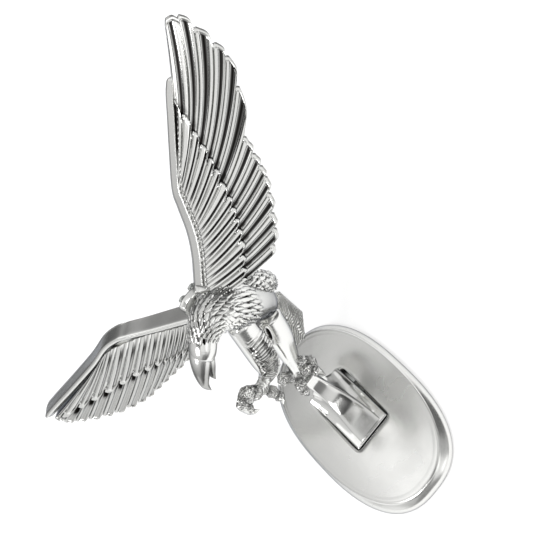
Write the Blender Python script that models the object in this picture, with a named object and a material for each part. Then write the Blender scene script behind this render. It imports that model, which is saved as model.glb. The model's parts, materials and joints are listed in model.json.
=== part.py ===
"""Bird-of-prey hood ornament: a bright cast bird on a sprung pedestal that tilts in a domed oval base.

Origin: centre of the base's bonding face. +Z is up from the hood, +X runs along the base towards
the bird's chest, +Y is the bird's left. Lengths are metres, written as millimetres times MM; lists of
points, sizes along a path and the arguments of millimetres() are in plain millimetres.
"""

import math

import bpy
import numpy as np

MM = 0.001
GAP = 0.3 * MM

# Base: a domed superellipse shell
BASE_HALF_LENGTH = 37.5 * MM
BASE_HALF_WIDTH = 21.4 * MM
BASE_RIM_Z = 0.3 * MM
BASE_CREASE_Z = 4.8 * MM
BASE_TOP_Z = 6.3 * MM
BASE_CREASE_INSET = 1.3 * MM
BASE_WALL = 1.3 * MM
BASE_RIM_EXPONENT = 2.56
BASE_CREASE_EXPONENT = 2.27
PLATE_EXPONENT = 2.4
BASE_SIDES = 72

# Slot in the dome that the pedestal's foot plate fills
SLOT_FRONT_X = 10.7 * MM
SLOT_REAR_X = -15.0 * MM
SLOT_HALF_WIDTH = 8.0 * MM

# Bonding pad and closing plate
PAD_THICKNESS = 1.5 * MM
PLATE_Z = 1.8 * MM
PLATE_THICKNESS = 0.7 * MM
PLATE_MARGIN = BASE_WALL + 2.0 * MM
PLATE_WINDOW = (-9.5 * MM, 3.5 * MM, 12.3 * MM)
SCREW_X = 24.0 * MM
SCREW_Y = 10.5 * MM
SCREW_RADIUS = 0.8 * MM
SCREW_HEAD_RADIUS = 1.9 * MM
SCREW_HEAD_HEIGHT = 0.8 * MM
BOSS_RADIUS = 2.3 * MM

# Pivot of the pedestal
PIVOT = (-4.0 * MM, 0.0, 3.6 * MM)
PIN_RADIUS = 0.75 * MM
PIN_HALF_LENGTH = 11.8 * MM
LUG_INNER_Y = 8.6 * MM
LUG_OUTER_Y = 10.3 * MM
KNUCKLE_RADIUS = 1.5 * MM
KNUCKLE_HALF_WIDTH = 3.0 * MM
SPRING_WIRE_RADIUS = 0.22 * MM
SPRING_COIL_RADIUS = 1.15 * MM
SPRING_TURNS = 4
BUMPER_BLOCK = (5.4 * MM, 8.8 * MM, 3.0 * MM, 4.6 * MM)
CLIP_RADIUS = 1.4 * MM
CLIP_THICKNESS = 0.5 * MM

# Pedestal foot plate and stem
FOOT_HALF_WIDTH = 7.2 * MM
PERCH = (-14.3 * MM, 0.0, 18.0 * MM)
RIVET_RADIUS = 0.8 * MM
RIVET_BOTTOM_Z = 15.0 * MM
RIVET_TOP_Z = 22.4 * MM

# Bird's attitude, in degrees: yaw, lean back, roll to its right
BIRD_YAW = -9.0
BIRD_LEAN = -28.0
BIRD_ROLL = 20.0

# Wings: angles in degrees, shared by both sides
WING_SWEEP = 28.0
WING_RAISE = 15.0
WING_TWIST = -10.0
WING_PLATE = 2.2 * MM
WING_CURL = 4.0 * MM
WING_CURL_SPAN = 85.0 * MM
WING_HOLLOW = 2.5 * MM
WING_HOLLOW_CHORD = 20.0 * MM
BAND_TIP = 3.0 * MM
BAND_ROOT = 5.0 * MM
QUILL_ANGLES = (-6.0, 78.0)
QUILL_ROWS = (0.0, 0.12, 0.4, 0.7, 0.9, 1.0)
BAND_FADE = (1.0, 0.8, 0.1, 0.0, 0.0, -0.2)
TIP_ARC = (-62.0, -22.0, 22.0, 62.0)
TIP_FULLNESS = 0.94

# Outlines and paths, all in plain millimetres. A wing's edge and feather tips are (span, chord) places
# from its root, from the tip of the wing inwards.
LEFT_WING_ROOT = (-22.0, 7.3, 72.8)
RIGHT_WING_ROOT = (-22.0, 1.3, 72.7)
LEFT_WING_EDGE = [
    (64.0, -14.4),
    (56.0, -13.6),
    (46.0, -12.6),
    (37.0, -11.6),
    (29.0, -9.8),
    (21.0, -6.4),
    (13.0, -4.2),
    (5.0, -3.2),
]
LEFT_FEATHER_TIPS = [
    (81.5, -15.0),
    (82.5, -11.0),
    (79.5, -5.0),
    (75.0, 1.0),
    (70.5, 5.0),
    (62.5, 8.0),
    (54.0, 10.0),
    (47.0, 12.0),
    (42.0, 14.5),
    (37.0, 17.0),
    (31.5, 18.5),
    (25.5, 19.5),
    (20.5, 20.5),
    (15.5, 19.8),
    (11.0, 18.0),
]
RIGHT_WING_EDGE = [
    (57.0, -4.9),
    (49.0, -6.4),
    (41.0, -7.8),
    (33.3, -9.5),
    (27.0, -9.5),
    (22.0, -8.1),
    (13.0, -4.8),
    (3.6, -1.6),
]
RIGHT_FEATHER_TIPS = [
    (75.0, -3.5),
    (75.5, 0.5),
    (73.0, 4.0),
    (69.0, 6.5),
    (64.5, 8.7),
    (59.5, 10.6),
    (54.5, 12.0),
    (49.0, 13.0),
    (44.0, 13.5),
    (39.0, 13.6),
    (34.0, 13.2),
    (29.0, 12.5),
    (24.0, 11.9),
    (18.5, 11.3),
    (13.0, 10.0),
]

YOKE_PATH = [(-26.2, 9.2, 72.4), (-26.9, 6.4, 71.8), (-26.9, 4.2, 71.6), (-26.2, 2.0, 72.0)]
YOKE_SCREWS = [(-26.9, 7.2, 71.6), (-26.9, 2.6, 71.4)]
YOKE_SCREW_AXIS = np.array([0.96, 0.0, -0.28])
YOKE_SCREW_PROFILE = [(-3.4, 0.9), (-3.1, 1.4), (-2.5, 1.4), (-2.49, 0.8), (7.4, 0.8)]
YOKE_BOSS_REACH = (2.2, 4.4)
YOKE_BOSS_RADIUS = 2.1 * MM
YOKE_SECTION = (2.0 * MM, 3.1 * MM)

FOOT_TOP = [(10.1, 6.1), (4.0, 6.3), (-2.0, 6.7), (-6.5, 7.5), (-10.0, 8.7), (-12.6, 10.2)]
FOOT_UNDER = [(-13.4, 9.6), (-11.4, 7.6), (-8.5, 6.0), (-5.5, 5.25), (10.1, 4.95)]
FOOT_SECTIONS = [(-1.0, 0.9), (-0.94, 1.0), (0.94, 1.0), (1.0, 0.9)]
STEM_PATH = [(2.0, 0, 5.9), (-5.0, 0, 6.9), (-9.6, 0, 9.6), (-12.4, 0, 13.4), (-14.3, 0, 18.0)]
STEM_HALF_WIDTHS = (4.6, 4.4, 2.9, 2.2, 2.4)
STEM_HALF_DEPTHS = (0.5, 1.1, 1.7, 1.9, 2.1)
STEM_STATIONS = (0, 0.25, 0.55, 0.85, 1)

SPINE = [
    (-26.5, 11.0, 42.0),
    (-24.0, 13.0, 50.0),
    (-20.5, 11.5, 60.0),
    (-17.5, 8.6, 69.0),
    (-15.0, 5.0, 74.6),
    (-11.5, 0.5, 76.0),
    (-8.6, -3.2, 75.2),
    (-6.4, -6.6, 74.0),
]
BODY_HALF_WIDTHS = (4.0, 6.5, 7.2, 6.6, 5.2, 4.2, 4.0, 2.3)
BODY_HALF_DEPTHS = (3.6, 5.6, 6.0, 5.6, 4.6, 4.0, 3.7, 2.2)
RUMP_PATH = [(-22.5, 14.0, 63.0), (-23.8, 17.6, 58.0), (-24.8, 19.6, 52.5), (-25.6, 19.2, 47.0)]
RUMP_SIZES = (2.2, 3.4, 3.8, 2.4)
BILL_PATH = [(-7.6, -5.0, 74.9), (-5.8, -8.0, 73.6), (-4.2, -10.2, 71.4), (-3.2, -10.5, 68.6)]
BILL_SIZES = (2.1, 1.6, 1.1, 0.35)
JAW_PATH = [(-7.4, -4.0, 73.2), (-5.4, -5.8, 71.6), (-3.4, -6.6, 69.8)]
JAW_SIZES = (1.7, 1.0, 0.35)

TAIL_UPPER_SIDE = [(-28.8, 15.0, 42.0), (-28.4, 17.8, 38.0), (-27.6, 17.4, 31.0), (-27.0, 15.5, 24.2)]
TAIL_LOWER_SIDE = [(-28.2, 7.4, 38.2), (-27.0, 5.6, 33.0), (-25.2, 3.8, 27.0), (-23.4, 2.4, 21.6)]
TAIL_END = (-26.0, 10.0, 17.4)
TAIL_FRONT = np.array([0.93, 0.05, 0.36])
TAIL_ROOT_THICKNESS = 2.6 * MM
TAIL_END_THICKNESS = 1.5 * MM

RIGHT_SHANK = [
    (-18.5, 2.8, 51.0),
    (-16.0, 0.6, 46.0),
    (-14.0, -2.6, 41.5),
    (-12.8, -6.2, 38.4),
    (-11.2, -9.6, 38.6),
]
RIGHT_LEG_SIZES = (4.4, 4.0, 2.6, 1.5, 2.0)
RIGHT_TOES = [
    [(-11.2, -9.6, 38.6), (-8.6, -8.8, 45.0), (-7.2, -10.6, 49.4), (-6, -13.4, 48.8), (-5.4, -14, 45.6)],
    [(-11.0, -9.8, 39.0), (-8.2, -12.2, 43.6), (-5.6, -13.6, 43.2), (-5.0, -12.4, 39.6)],
    [(-11.4, -9.4, 38.4), (-9.6, -8.6, 34.4), (-8.4, -8.2, 30.6), (-8.2, -9.0, 28.6)],
]
LEFT_SHANK = [
    (-21.6, 6.4, 38.4),
    (-19.6, 4.4, 34.6),
    (-17.6, 2.4, 30.6),
    (-15.6, 1.0, 26.6),
    (-14.3, 0.2, 22.6),
]
LEFT_LEG_SIZES = (3.6, 3.2, 2.2, 1.6, 2.6)
LEFT_TOES = [
    [(-14.3, 0.4, 22.8), (-11.6, 2.6, 24.0), (-9.6, 4.4, 22.4), (-8.8, 4.8, 19.4)],
    [(-14.2, 0.0, 22.6), (-11.2, -1.6, 23.2), (-9.9, -2.8, 20.6), (-10.2, -3.2, 17.2)],
    [(-14.8, 1.0, 23.0), (-14.6, 3.6, 24.6), (-14.0, 4.8, 22.4), (-13.6, 4.6, 19.4)],
    [(-14.8, -0.2, 22.8), (-16.6, -2.2, 23.6), (-18.0, -2.8, 21.0), (-17.6, -2.4, 18.0)],
]
TOE_ROOT = 1.5
CLAW_POINT = 0.35



def clear_scene():
    for old in list(bpy.data.objects):
        bpy.data.objects.remove(old, do_unlink=True)


def make_material(name, color, metallic, roughness):
    material = bpy.data.materials.new(name)
    material.use_nodes = True
    shader = material.node_tree.nodes["Principled BSDF"]
    shader.inputs["Base Color"].default_value = (*color, 1.0)
    shader.inputs["Metallic"].default_value = metallic
    shader.inputs["Roughness"].default_value = roughness
    return material


def millimetres(points):
    return np.asarray(points, float) * MM


def make_piece(name, mesh_data, material, origin=(0.0, 0.0, 0.0), helper=False):
    """One object from world-space points and faces, with its origin at the given point."""
    points, faces = mesh_data
    mesh = bpy.data.meshes.new(name)
    shifted = np.asarray(points, float) - np.asarray(origin, float)
    mesh.from_pydata(shifted.tolist(), [], faces)
    mesh.validate()
    mesh.materials.append(material)
    mesh.shade_smooth()
    mesh.set_sharp_from_angle(angle=math.radians(35.0))
    piece = bpy.data.objects.new(name, mesh)
    piece.location = origin
    bpy.context.scene.collection.objects.link(piece)
    if helper:
        piece.hide_render = True
        piece.display_type = "WIRE"
    return piece


def combine(piece, helper, operation):
    modifier = piece.modifiers.new(f"{operation.lower()} {helper.name}", "BOOLEAN")
    modifier.operation = operation
    modifier.solver = "EXACT"
    modifier.object = helper


def loft(rings):
    """Closed body from rings of equal point counts, wound so that the last ring is ahead of the first."""
    rings = np.asarray(rings, float)
    count, sides = rings.shape[:2]
    faces = []
    for i in range(count - 1):
        for j in range(sides):
            k = (j + 1) % sides
            low, high = i * sides, (i + 1) * sides
            faces.append((low + j, low + k, high + k, high + j))
    faces.append(tuple(reversed(range(sides))))
    faces.append(tuple(range((count - 1) * sides, count * sides)))
    return rings.reshape(-1, 3), faces


def circle_angles(sides):
    return np.linspace(0.0, 2.0 * math.pi, sides, endpoint=False)


def cylinder(start, end, radius, sides=16):
    return tube([start, end], [radius, radius], sides)


def ring_frames(path, up):
    """Tangent and two cross directions at every point of a path, the second kept close to up."""
    tangents = np.gradient(path, axis=0)
    tangents /= np.linalg.norm(tangents, axis=1, keepdims=True)
    across = np.cross(np.broadcast_to(up, path.shape), tangents)
    across /= np.linalg.norm(across, axis=1, keepdims=True)
    return across, np.cross(tangents, across)


def tube(path, radii, sides=12, up=None):
    """Round or oval rod along a path; a radius is one number or an (across, along up) pair."""
    path = np.asarray(path, float)
    if up is None:
        run = np.abs(path[-1] - path[0])
        up = np.eye(3)[int(np.argmin(run))]
    across, rise = ring_frames(path, np.asarray(up, float))
    radii = np.array([np.broadcast_to(radius, 2) for radius in radii], float)
    turn = circle_angles(sides)
    rings = (
        path[:, None, :]
        + across[:, None, :] * np.cos(turn)[None, :, None] * radii[:, None, :1]
        + rise[:, None, :] * np.sin(turn)[None, :, None] * radii[:, None, 1:]
    )
    return loft(rings)


def smooth_path(points, count):
    """Points evenly spread on a Catmull-Rom curve through the given points."""
    points = np.asarray(points, float)
    padded = np.vstack([2 * points[0] - points[1], points, 2 * points[-1] - points[-2]])
    spread = np.linspace(0, len(points) - 1, count)
    index = np.minimum(spread.astype(int), len(points) - 2)
    t = (spread - index)[:, None]
    a, b, c, d = (padded[index + k] for k in range(4))
    linear, square, cube = c - a, 2 * a - 5 * b + 4 * c - d, 3 * b - a - 3 * c + d
    return 0.5 * (2 * b + linear * t + square * t**2 + cube * t**3)


def sizes_along(sizes, count, stations=None):
    """Sizes given in millimetres at a few stations, read off evenly at count places."""
    if stations is None:
        stations = np.linspace(0.0, 1.0, len(sizes))
    return np.interp(np.linspace(0.0, 1.0, count), stations, sizes) * MM


def box(low, high):
    (x0, y0, z0), (x1, y1, z1) = low, high
    lower = [(x0, y0, z0), (x1, y0, z0), (x1, y1, z0), (x0, y1, z0)]
    upper = [(x, y, z1) for x, y, _ in lower]
    return loft([lower, upper])


def superellipse(half_length, half_width, exponent, z, sides=BASE_SIDES):
    turn = circle_angles(sides)
    cos, sin = np.cos(turn), np.sin(turn)
    x = half_length * np.sign(cos) * np.abs(cos) ** (2.0 / exponent)
    y = half_width * np.sign(sin) * np.abs(sin) ** (2.0 / exponent)
    return np.stack([x, y, np.full(sides, z)], axis=1)


def dome_rings(inset, drop):
    """Crease-to-crown rings of the dome, shrunk by inset and lowered by drop; the last is nearly a point."""
    rings = []
    rise = BASE_TOP_Z - BASE_CREASE_Z
    for share in (1.0, 0.8, 0.55, 0.3, 0.02):
        length = (BASE_HALF_LENGTH - BASE_CREASE_INSET - inset) * share
        width = (BASE_HALF_WIDTH - BASE_CREASE_INSET - inset) * share
        z = BASE_CREASE_Z + rise * (1.0 - share**2) - drop
        rings.append(superellipse(length, width, BASE_CREASE_EXPONENT, z))
    return rings


def base_profile(inset, drop, bottom_z):
    rim = superellipse(BASE_HALF_LENGTH - inset, BASE_HALF_WIDTH - inset, BASE_RIM_EXPONENT, bottom_z)
    return loft([rim] + dome_rings(inset, drop))


def build_base_shell(chrome):
    shell = make_piece("base_shell", base_profile(0.0, 0.0, BASE_RIM_Z), chrome)
    hollow = make_piece("base_hollow", base_profile(BASE_WALL, BASE_WALL, -1.0 * MM), chrome, helper=True)
    combine(shell, hollow, "DIFFERENCE")
    slot = make_piece(
        "slot_cutter",
        box((SLOT_REAR_X, -SLOT_HALF_WIDTH, 2.0 * MM), (SLOT_FRONT_X, SLOT_HALF_WIDTH, 10.0 * MM)),
        chrome,
        helper=True,
    )
    combine(shell, slot, "DIFFERENCE")
    lug_x = 2.0 * MM
    lug_bottom, lug_top = PIVOT[2] - 1.6 * MM, BASE_CREASE_Z + 0.3 * MM
    for side in (-1, 1):
        inner, outer = sorted((side * LUG_INNER_Y, side * LUG_OUTER_Y))
        lug = box((PIVOT[0] - lug_x, inner, lug_bottom), (PIVOT[0] + lug_x, outer, lug_top))
        combine(shell, make_piece(f"lug_{side}", lug, chrome, helper=True), "UNION")
    pin_hole = cylinder(
        (PIVOT[0], -LUG_OUTER_Y - MM, PIVOT[2]), (PIVOT[0], LUG_OUTER_Y + MM, PIVOT[2]), PIN_RADIUS + GAP
    )
    combine(shell, make_piece("lug_bore_cutter", pin_hole, chrome, helper=True), "DIFFERENCE")
    for side in (-1, 1):
        start, end = ((PIVOT[0], side * y, PIVOT[2]) for y in (LUG_OUTER_Y, PIN_HALF_LENGTH + 0.5 * MM))
        pocket = cylinder(*sorted((start, end)), CLIP_RADIUS + GAP)
        combine(shell, make_piece(f"clip_pocket_{side}", pocket, chrome, helper=True), "DIFFERENCE")
    boss_bottom, boss_top = PLATE_Z + PLATE_THICKNESS + GAP, BASE_CREASE_Z - 0.5 * MM
    for index, (x, y) in enumerate(screw_places()):
        boss = cylinder((x, y, boss_bottom), (x, y, boss_top), BOSS_RADIUS)
        combine(shell, make_piece(f"boss_{index}", boss, chrome, helper=True), "UNION")
        bore = cylinder((x, y, boss_bottom - MM), (x, y, boss_top - 0.2 * MM), SCREW_RADIUS + GAP)
        combine(shell, make_piece(f"boss_bore_{index}", bore, chrome, helper=True), "DIFFERENCE")


def screw_places():
    return [(sx * SCREW_X, sy * SCREW_Y) for sx in (1, -1) for sy in (1, -1)]


def build_base_plate(steel):
    outline = [
        superellipse(BASE_HALF_LENGTH - PLATE_MARGIN, BASE_HALF_WIDTH - PLATE_MARGIN, PLATE_EXPONENT, z, 48)
        for z in (PLATE_Z, PLATE_Z + PLATE_THICKNESS)
    ]
    plate = make_piece("base_plate", loft(outline), steel)
    rear, front, half = PLATE_WINDOW
    window = box((rear, -half, 0.0), (front, half, 4.0 * MM))
    combine(plate, make_piece("plate_window_cutter", window, steel, helper=True), "DIFFERENCE")
    for index, (x, y) in enumerate(screw_places()):
        hole = cylinder((x, y, 0.0), (x, y, 4.0 * MM), SCREW_RADIUS + GAP)
        combine(plate, make_piece(f"plate_hole_{index}", hole, steel, helper=True), "DIFFERENCE")


def build_plate_screws(steel):
    names = ("front_left", "front_right", "rear_left", "rear_right")
    for name, (x, y) in zip(names, screw_places()):
        head_z = PLATE_Z - 0.2 * MM - SCREW_HEAD_HEIGHT
        profile = (
            (head_z, SCREW_HEAD_RADIUS * 0.75),
            (head_z + 0.25 * MM, SCREW_HEAD_RADIUS),
            (head_z + SCREW_HEAD_HEIGHT, SCREW_HEAD_RADIUS),
            (head_z + SCREW_HEAD_HEIGHT + 0.01 * MM, SCREW_RADIUS),
            (BASE_CREASE_Z - 1.0 * MM, SCREW_RADIUS * 0.9),
        )
        path = [(x, y, z) for z, _ in profile]
        make_piece(f"plate_screw_{name}", tube(path, [r for _, r in profile], 16), steel)


def build_adhesive_pad(foam):
    outline = [
        superellipse(BASE_HALF_LENGTH - PLATE_MARGIN, BASE_HALF_WIDTH - PLATE_MARGIN, PLATE_EXPONENT, z, 48)
        for z in (0.0, PAD_THICKNESS)
    ]
    pad = make_piece("adhesive_pad", loft(outline), foam)
    for index, (x, y) in enumerate(screw_places()):
        pocket = cylinder((x, y, 0.5 * MM), (x, y, 4.0 * MM), SCREW_HEAD_RADIUS + GAP)
        combine(pad, make_piece(f"pad_pocket_{index}", pocket, foam, helper=True), "DIFFERENCE")


def build_pivot(steel):
    x, _, z = PIVOT
    ends = (x, -PIN_HALF_LENGTH, z), (x, PIN_HALF_LENGTH, z)
    make_piece("pivot_pin", cylinder(*ends, PIN_RADIUS), steel, origin=PIVOT)
    for name, side in (("left", 1), ("right", -1)):
        near = side * (LUG_OUTER_Y + GAP)
        far = near + side * CLIP_THICKNESS
        low, high = sorted((near, far))
        clip = make_piece(f"pin_clip_{name}", cylinder((x, low, z), (x, high, z), CLIP_RADIUS), steel)
        bore = cylinder((x, low - MM, z), (x, high + MM, z), PIN_RADIUS + 0.15 * MM)
        combine(clip, make_piece(f"clip_bore_{name}", bore, steel, helper=True), "DIFFERENCE")


def build_return_spring(name, side, steel):
    """Torsion spring beside the knuckle: one leg under the foot plate's rear, one down on the pad."""
    x, _, z = PIVOT
    inner, outer = KNUCKLE_HALF_WIDTH + 0.7 * MM, LUG_INNER_Y - 1.6 * MM
    start_turn, steps = math.pi * 0.5, 12 * SPRING_TURNS
    turn = start_turn + np.linspace(0.0, 2.0 * math.pi * SPRING_TURNS, steps)
    coil = np.stack(
        [
            x + SPRING_COIL_RADIUS * np.cos(turn),
            side * np.linspace(inner, outer, steps),
            z + SPRING_COIL_RADIUS * np.sin(turn),
        ],
        axis=1,
    )
    rear_leg = coil[0] + millimetres([(-5.0, 0.0, 0.0), (-1.0, 0.0, 0.0)])
    front_leg = coil[-1] + millimetres([(-1.0, 0.0, -0.1), (-4.0, 0.0, -2.4)])
    path = np.vstack([rear_leg, coil, front_leg])
    radii = [SPRING_WIRE_RADIUS] * len(path)
    make_piece(name, tube(path, radii, 6, up=(0.0, 1.0, 0.0)), steel, origin=PIVOT)


def build_stop_bumper(rubber):
    rear, front, half, top = BUMPER_BLOCK
    make_piece("stop_bumper", box((rear, -half, PLATE_Z + PLATE_THICKNESS + GAP), (front, half, top)), rubber)


def foot_plate_rings():
    """Side profile of the foot plate, top run then underside, carried across its width."""
    outline = millimetres(FOOT_TOP + FOOT_UNDER)
    rings = []
    for share, shrink in FOOT_SECTIONS:
        middle = outline.mean(axis=0)
        shape = middle + (outline - middle) * shrink
        y = np.full(len(outline), share * FOOT_HALF_WIDTH)
        rings.append(np.stack([shape[:, 0], y, shape[:, 1]], axis=1))
    return rings


def build_pedestal(chrome):
    pedestal = make_piece("pedestal", loft(foot_plate_rings()), chrome, origin=PIVOT)
    widths = sizes_along(STEM_HALF_WIDTHS, 9, STEM_STATIONS)
    depths = sizes_along(STEM_HALF_DEPTHS, 9, STEM_STATIONS)
    stem = tube(smooth_path(millimetres(STEM_PATH), 9), list(zip(widths, depths)), 16, up=(1.0, 0.0, 0.6))
    combine(pedestal, make_piece("stem", stem, chrome, helper=True), "UNION")
    x, _, z = PIVOT
    reach = (x, -KNUCKLE_HALF_WIDTH, z), (x, KNUCKLE_HALF_WIDTH, z)
    combine(pedestal, make_piece("knuckle", cylinder(*reach, KNUCKLE_RADIUS), chrome, helper=True), "UNION")
    neck_half = KNUCKLE_HALF_WIDTH - 0.01 * MM
    neck = box((x - 1.2 * MM, -neck_half, z), (x + 1.2 * MM, neck_half, 6.0 * MM))
    combine(pedestal, make_piece("knuckle_neck", neck, chrome, helper=True), "UNION")
    bore = cylinder((x, -9.0 * MM, z), (x, 9.0 * MM, z), PIN_RADIUS + GAP * 0.8)
    combine(pedestal, make_piece("knuckle_bore", bore, chrome, helper=True), "DIFFERENCE")
    rivet_hole = cylinder(
        (PERCH[0], 0.0, RIVET_BOTTOM_Z - GAP), (PERCH[0], 0.0, 25.0 * MM), RIVET_RADIUS + GAP, 12
    )
    combine(pedestal, make_piece("perch_bore", rivet_hole, chrome, helper=True), "DIFFERENCE")


def turn_matrix(axis, degrees):
    """Right-handed turn about a main axis, by Rodrigues' formula."""
    axis, angle = np.asarray(axis, float), math.radians(degrees)
    skew = np.cross(np.eye(3), axis)
    return np.eye(3) + math.sin(angle) * skew + (1.0 - math.cos(angle)) * skew @ skew


def bird_axes():
    """The bird's chest, left and head directions."""
    yaw, lean = turn_matrix((0, 0, 1), BIRD_YAW), turn_matrix((0, 1, 0), BIRD_LEAN)
    return (yaw @ lean @ turn_matrix((1, 0, 0), BIRD_ROLL)).T


def wing_axes(side):
    """Span, chord and front-face directions of a wing; side is 1 on the bird's left and -1 on its right."""
    chest, left, head = bird_axes()
    sweep, lift, twist = (math.radians(angle) for angle in (WING_SWEEP, WING_RAISE, WING_TWIST))
    flat = math.cos(sweep) * side * left - math.sin(sweep) * chest
    span = math.cos(lift) * flat + math.sin(lift) * head
    chord = -head - span * (-head @ span)
    chord /= np.linalg.norm(chord)
    chord = math.cos(twist) * chord + math.sin(twist) * np.cross(span, chord) * side
    return span, chord, -np.cross(span, chord) * side


def wing_point(root, axes, span_chord, depth=0.0):
    """World points of (span, chord) places on the cambered wing, depth behind its front face."""
    u, v = np.moveaxis(np.asarray(span_chord, float), -1, 0)
    camber = WING_CURL * (u / WING_CURL_SPAN) ** 2 + WING_HOLLOW * (v / WING_HOLLOW_CHORD) ** 2
    span, chord, front = axes
    return root + u[..., None] * span + v[..., None] * chord + (camber - depth)[..., None] * front


def feather_tip(tip, angle, half_width):
    """Rounded end of one feather: points on an arc round the tip's centre."""
    arc = np.radians(TIP_ARC)
    ahead = np.array([math.cos(angle), math.sin(angle)])
    beside = np.array([-ahead[1], ahead[0]])
    centre = np.asarray(tip) - half_width * ahead
    return centre + half_width * (np.cos(arc)[:, None] * ahead + np.sin(arc)[:, None] * beside)


def quill_grid(edge, tips):
    """Rows from the wing's front edge out to the feather tips, one set of columns for each feather."""
    tips = millimetres(tips)
    angles = np.radians(np.linspace(*QUILL_ANGLES, len(tips)))
    steps = np.diff(tips, axis=0)
    between = 0.5 * (angles[1:] + angles[:-1])
    spacing = np.abs(steps[:, 0] * np.sin(between) - steps[:, 1] * np.cos(between))
    widths = TIP_FULLNESS * 0.5 * np.interp(np.arange(len(tips)), np.arange(len(steps)) + 0.5, spacing)
    ends = np.vstack([feather_tip(*feather) for feather in zip(tips, angles, widths)])
    edge = millimetres(edge)
    reach = np.linspace(0.0, len(edge) - 1.0, len(ends))
    starts = np.stack([np.interp(reach, np.arange(len(edge)), edge[:, k]) for k in range(2)], axis=1)
    return starts + (ends - starts) * np.array(QUILL_ROWS)[:, None, None]


def slab(front, back):
    """Closed plate between two equal grids of points."""
    rows, columns = front.shape[:2]
    index = np.arange(rows * columns).reshape(rows, columns)
    under = index + rows * columns
    faces = []
    for i in range(rows - 1):
        for j in range(columns - 1):
            quad = (index[i, j], index[i + 1, j], index[i + 1, j + 1], index[i, j + 1])
            faces.append(quad)
            faces.append(tuple(value + rows * columns for value in reversed(quad)))
    rim = np.concatenate([index[0, :-1], index[:-1, -1], index[-1, :0:-1], index[:0:-1, 0]])
    for a, b in zip(rim, np.roll(rim, -1)):
        faces.append((a, b, b + rows * columns, a + rows * columns))
    faces = [tuple(int(value) for value in face) for face in faces]
    return np.vstack([front.reshape(-1, 3), back.reshape(-1, 3)]), faces


def flipped(mesh_data):
    points, faces = mesh_data
    return points, [tuple(reversed(face)) for face in faces]


def build_wing(name, side, root, edge, tips, chrome):
    """Feathered plate, thick along its front edge and thickest where that edge meets the yoke."""
    axes = wing_axes(side)
    grid = quill_grid(edge, tips)
    rows, columns = grid.shape[:2]
    band = np.interp(np.arange(columns), (0, columns - 1), (BAND_TIP, BAND_ROOT))
    fade = np.array(BAND_FADE)[:, None]
    thickness = WING_PLATE + (band - WING_PLATE) * fade
    body = slab(wing_point(root, axes, grid), wing_point(root, axes, grid, thickness))
    make_piece(name, flipped(body) if side > 0 else body, chrome, origin=root)


def build_wings(chrome):
    build_wing("left_wing", 1, millimetres(LEFT_WING_ROOT), LEFT_WING_EDGE, LEFT_FEATHER_TIPS, chrome)
    build_wing("right_wing", -1, millimetres(RIGHT_WING_ROOT), RIGHT_WING_EDGE, RIGHT_FEATHER_TIPS, chrome)


def build_wing_yoke(chrome):
    """Smooth saddle behind the neck that carries both wing roots, with a boss that bears on the body."""
    path = smooth_path(millimetres(YOKE_PATH), 9)
    yoke = make_piece("wing_yoke", tube(path, [YOKE_SECTION] * len(path), 14, up=(0.3, 0, 1)), chrome)
    for index, (screw, reach) in enumerate(zip(YOKE_SCREWS, YOKE_BOSS_REACH)):
        boss = cylinder(*screw_ends(screw, 0.0, reach), YOKE_BOSS_RADIUS, 14)
        combine(yoke, make_piece(f"yoke_boss_{index}", boss, chrome, helper=True), "UNION")
    for index, screw in enumerate(YOKE_SCREWS):
        bore = cylinder(*screw_ends(screw, -3.0, 6.0), SCREW_RADIUS + GAP, 12)
        combine(yoke, make_piece(f"yoke_bore_{index}", bore, chrome, helper=True), "DIFFERENCE")


def screw_ends(place, start, end):
    """Two points on a yoke screw's axis, start and end millimetres ahead of its place."""
    return millimetres(place + YOKE_SCREW_AXIS * start), millimetres(place + YOKE_SCREW_AXIS * end)


def build_yoke_screws(steel):
    for name, place in zip(("left", "right"), YOKE_SCREWS):
        path = millimetres([place + YOKE_SCREW_AXIS * reach for reach, _ in YOKE_SCREW_PROFILE])
        radii = [radius * MM for _, radius in YOKE_SCREW_PROFILE]
        make_piece(f"yoke_screw_{name}", tube(path, radii, 14), steel)


def build_body(chrome):
    """Torso, neck and bent-down head with its hooked upper bill, as one casting."""
    path = smooth_path(millimetres(SPINE), 20)
    across, deep = sizes_along(BODY_HALF_WIDTHS, 20), sizes_along(BODY_HALF_DEPTHS, 20)
    body = make_piece("body", tube(path, list(zip(across, deep)), 20, up=(0.6, 0.1, 0.8)), chrome)
    rump = tube(smooth_path(millimetres(RUMP_PATH), 8), sizes_along(RUMP_SIZES, 8), 12, up=(1, 0, 0))
    combine(body, make_piece("rump", rump, chrome, helper=True), "UNION")
    bill = tube(smooth_path(millimetres(BILL_PATH), 8), sizes_along(BILL_SIZES, 8), 10)
    combine(body, make_piece("bill", bill, chrome, helper=True), "UNION")
    jaw = tube(smooth_path(millimetres(JAW_PATH), 5), sizes_along(JAW_SIZES, 5), 10)
    combine(body, make_piece("jaw", jaw, chrome, helper=True), "UNION")
    for index, place in enumerate(YOKE_SCREWS):
        bore = cylinder(*screw_ends(place, 0.0, 8.0), SCREW_RADIUS + GAP, 12)
        combine(body, make_piece(f"body_bore_{index}", bore, chrome, helper=True), "DIFFERENCE")


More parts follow.
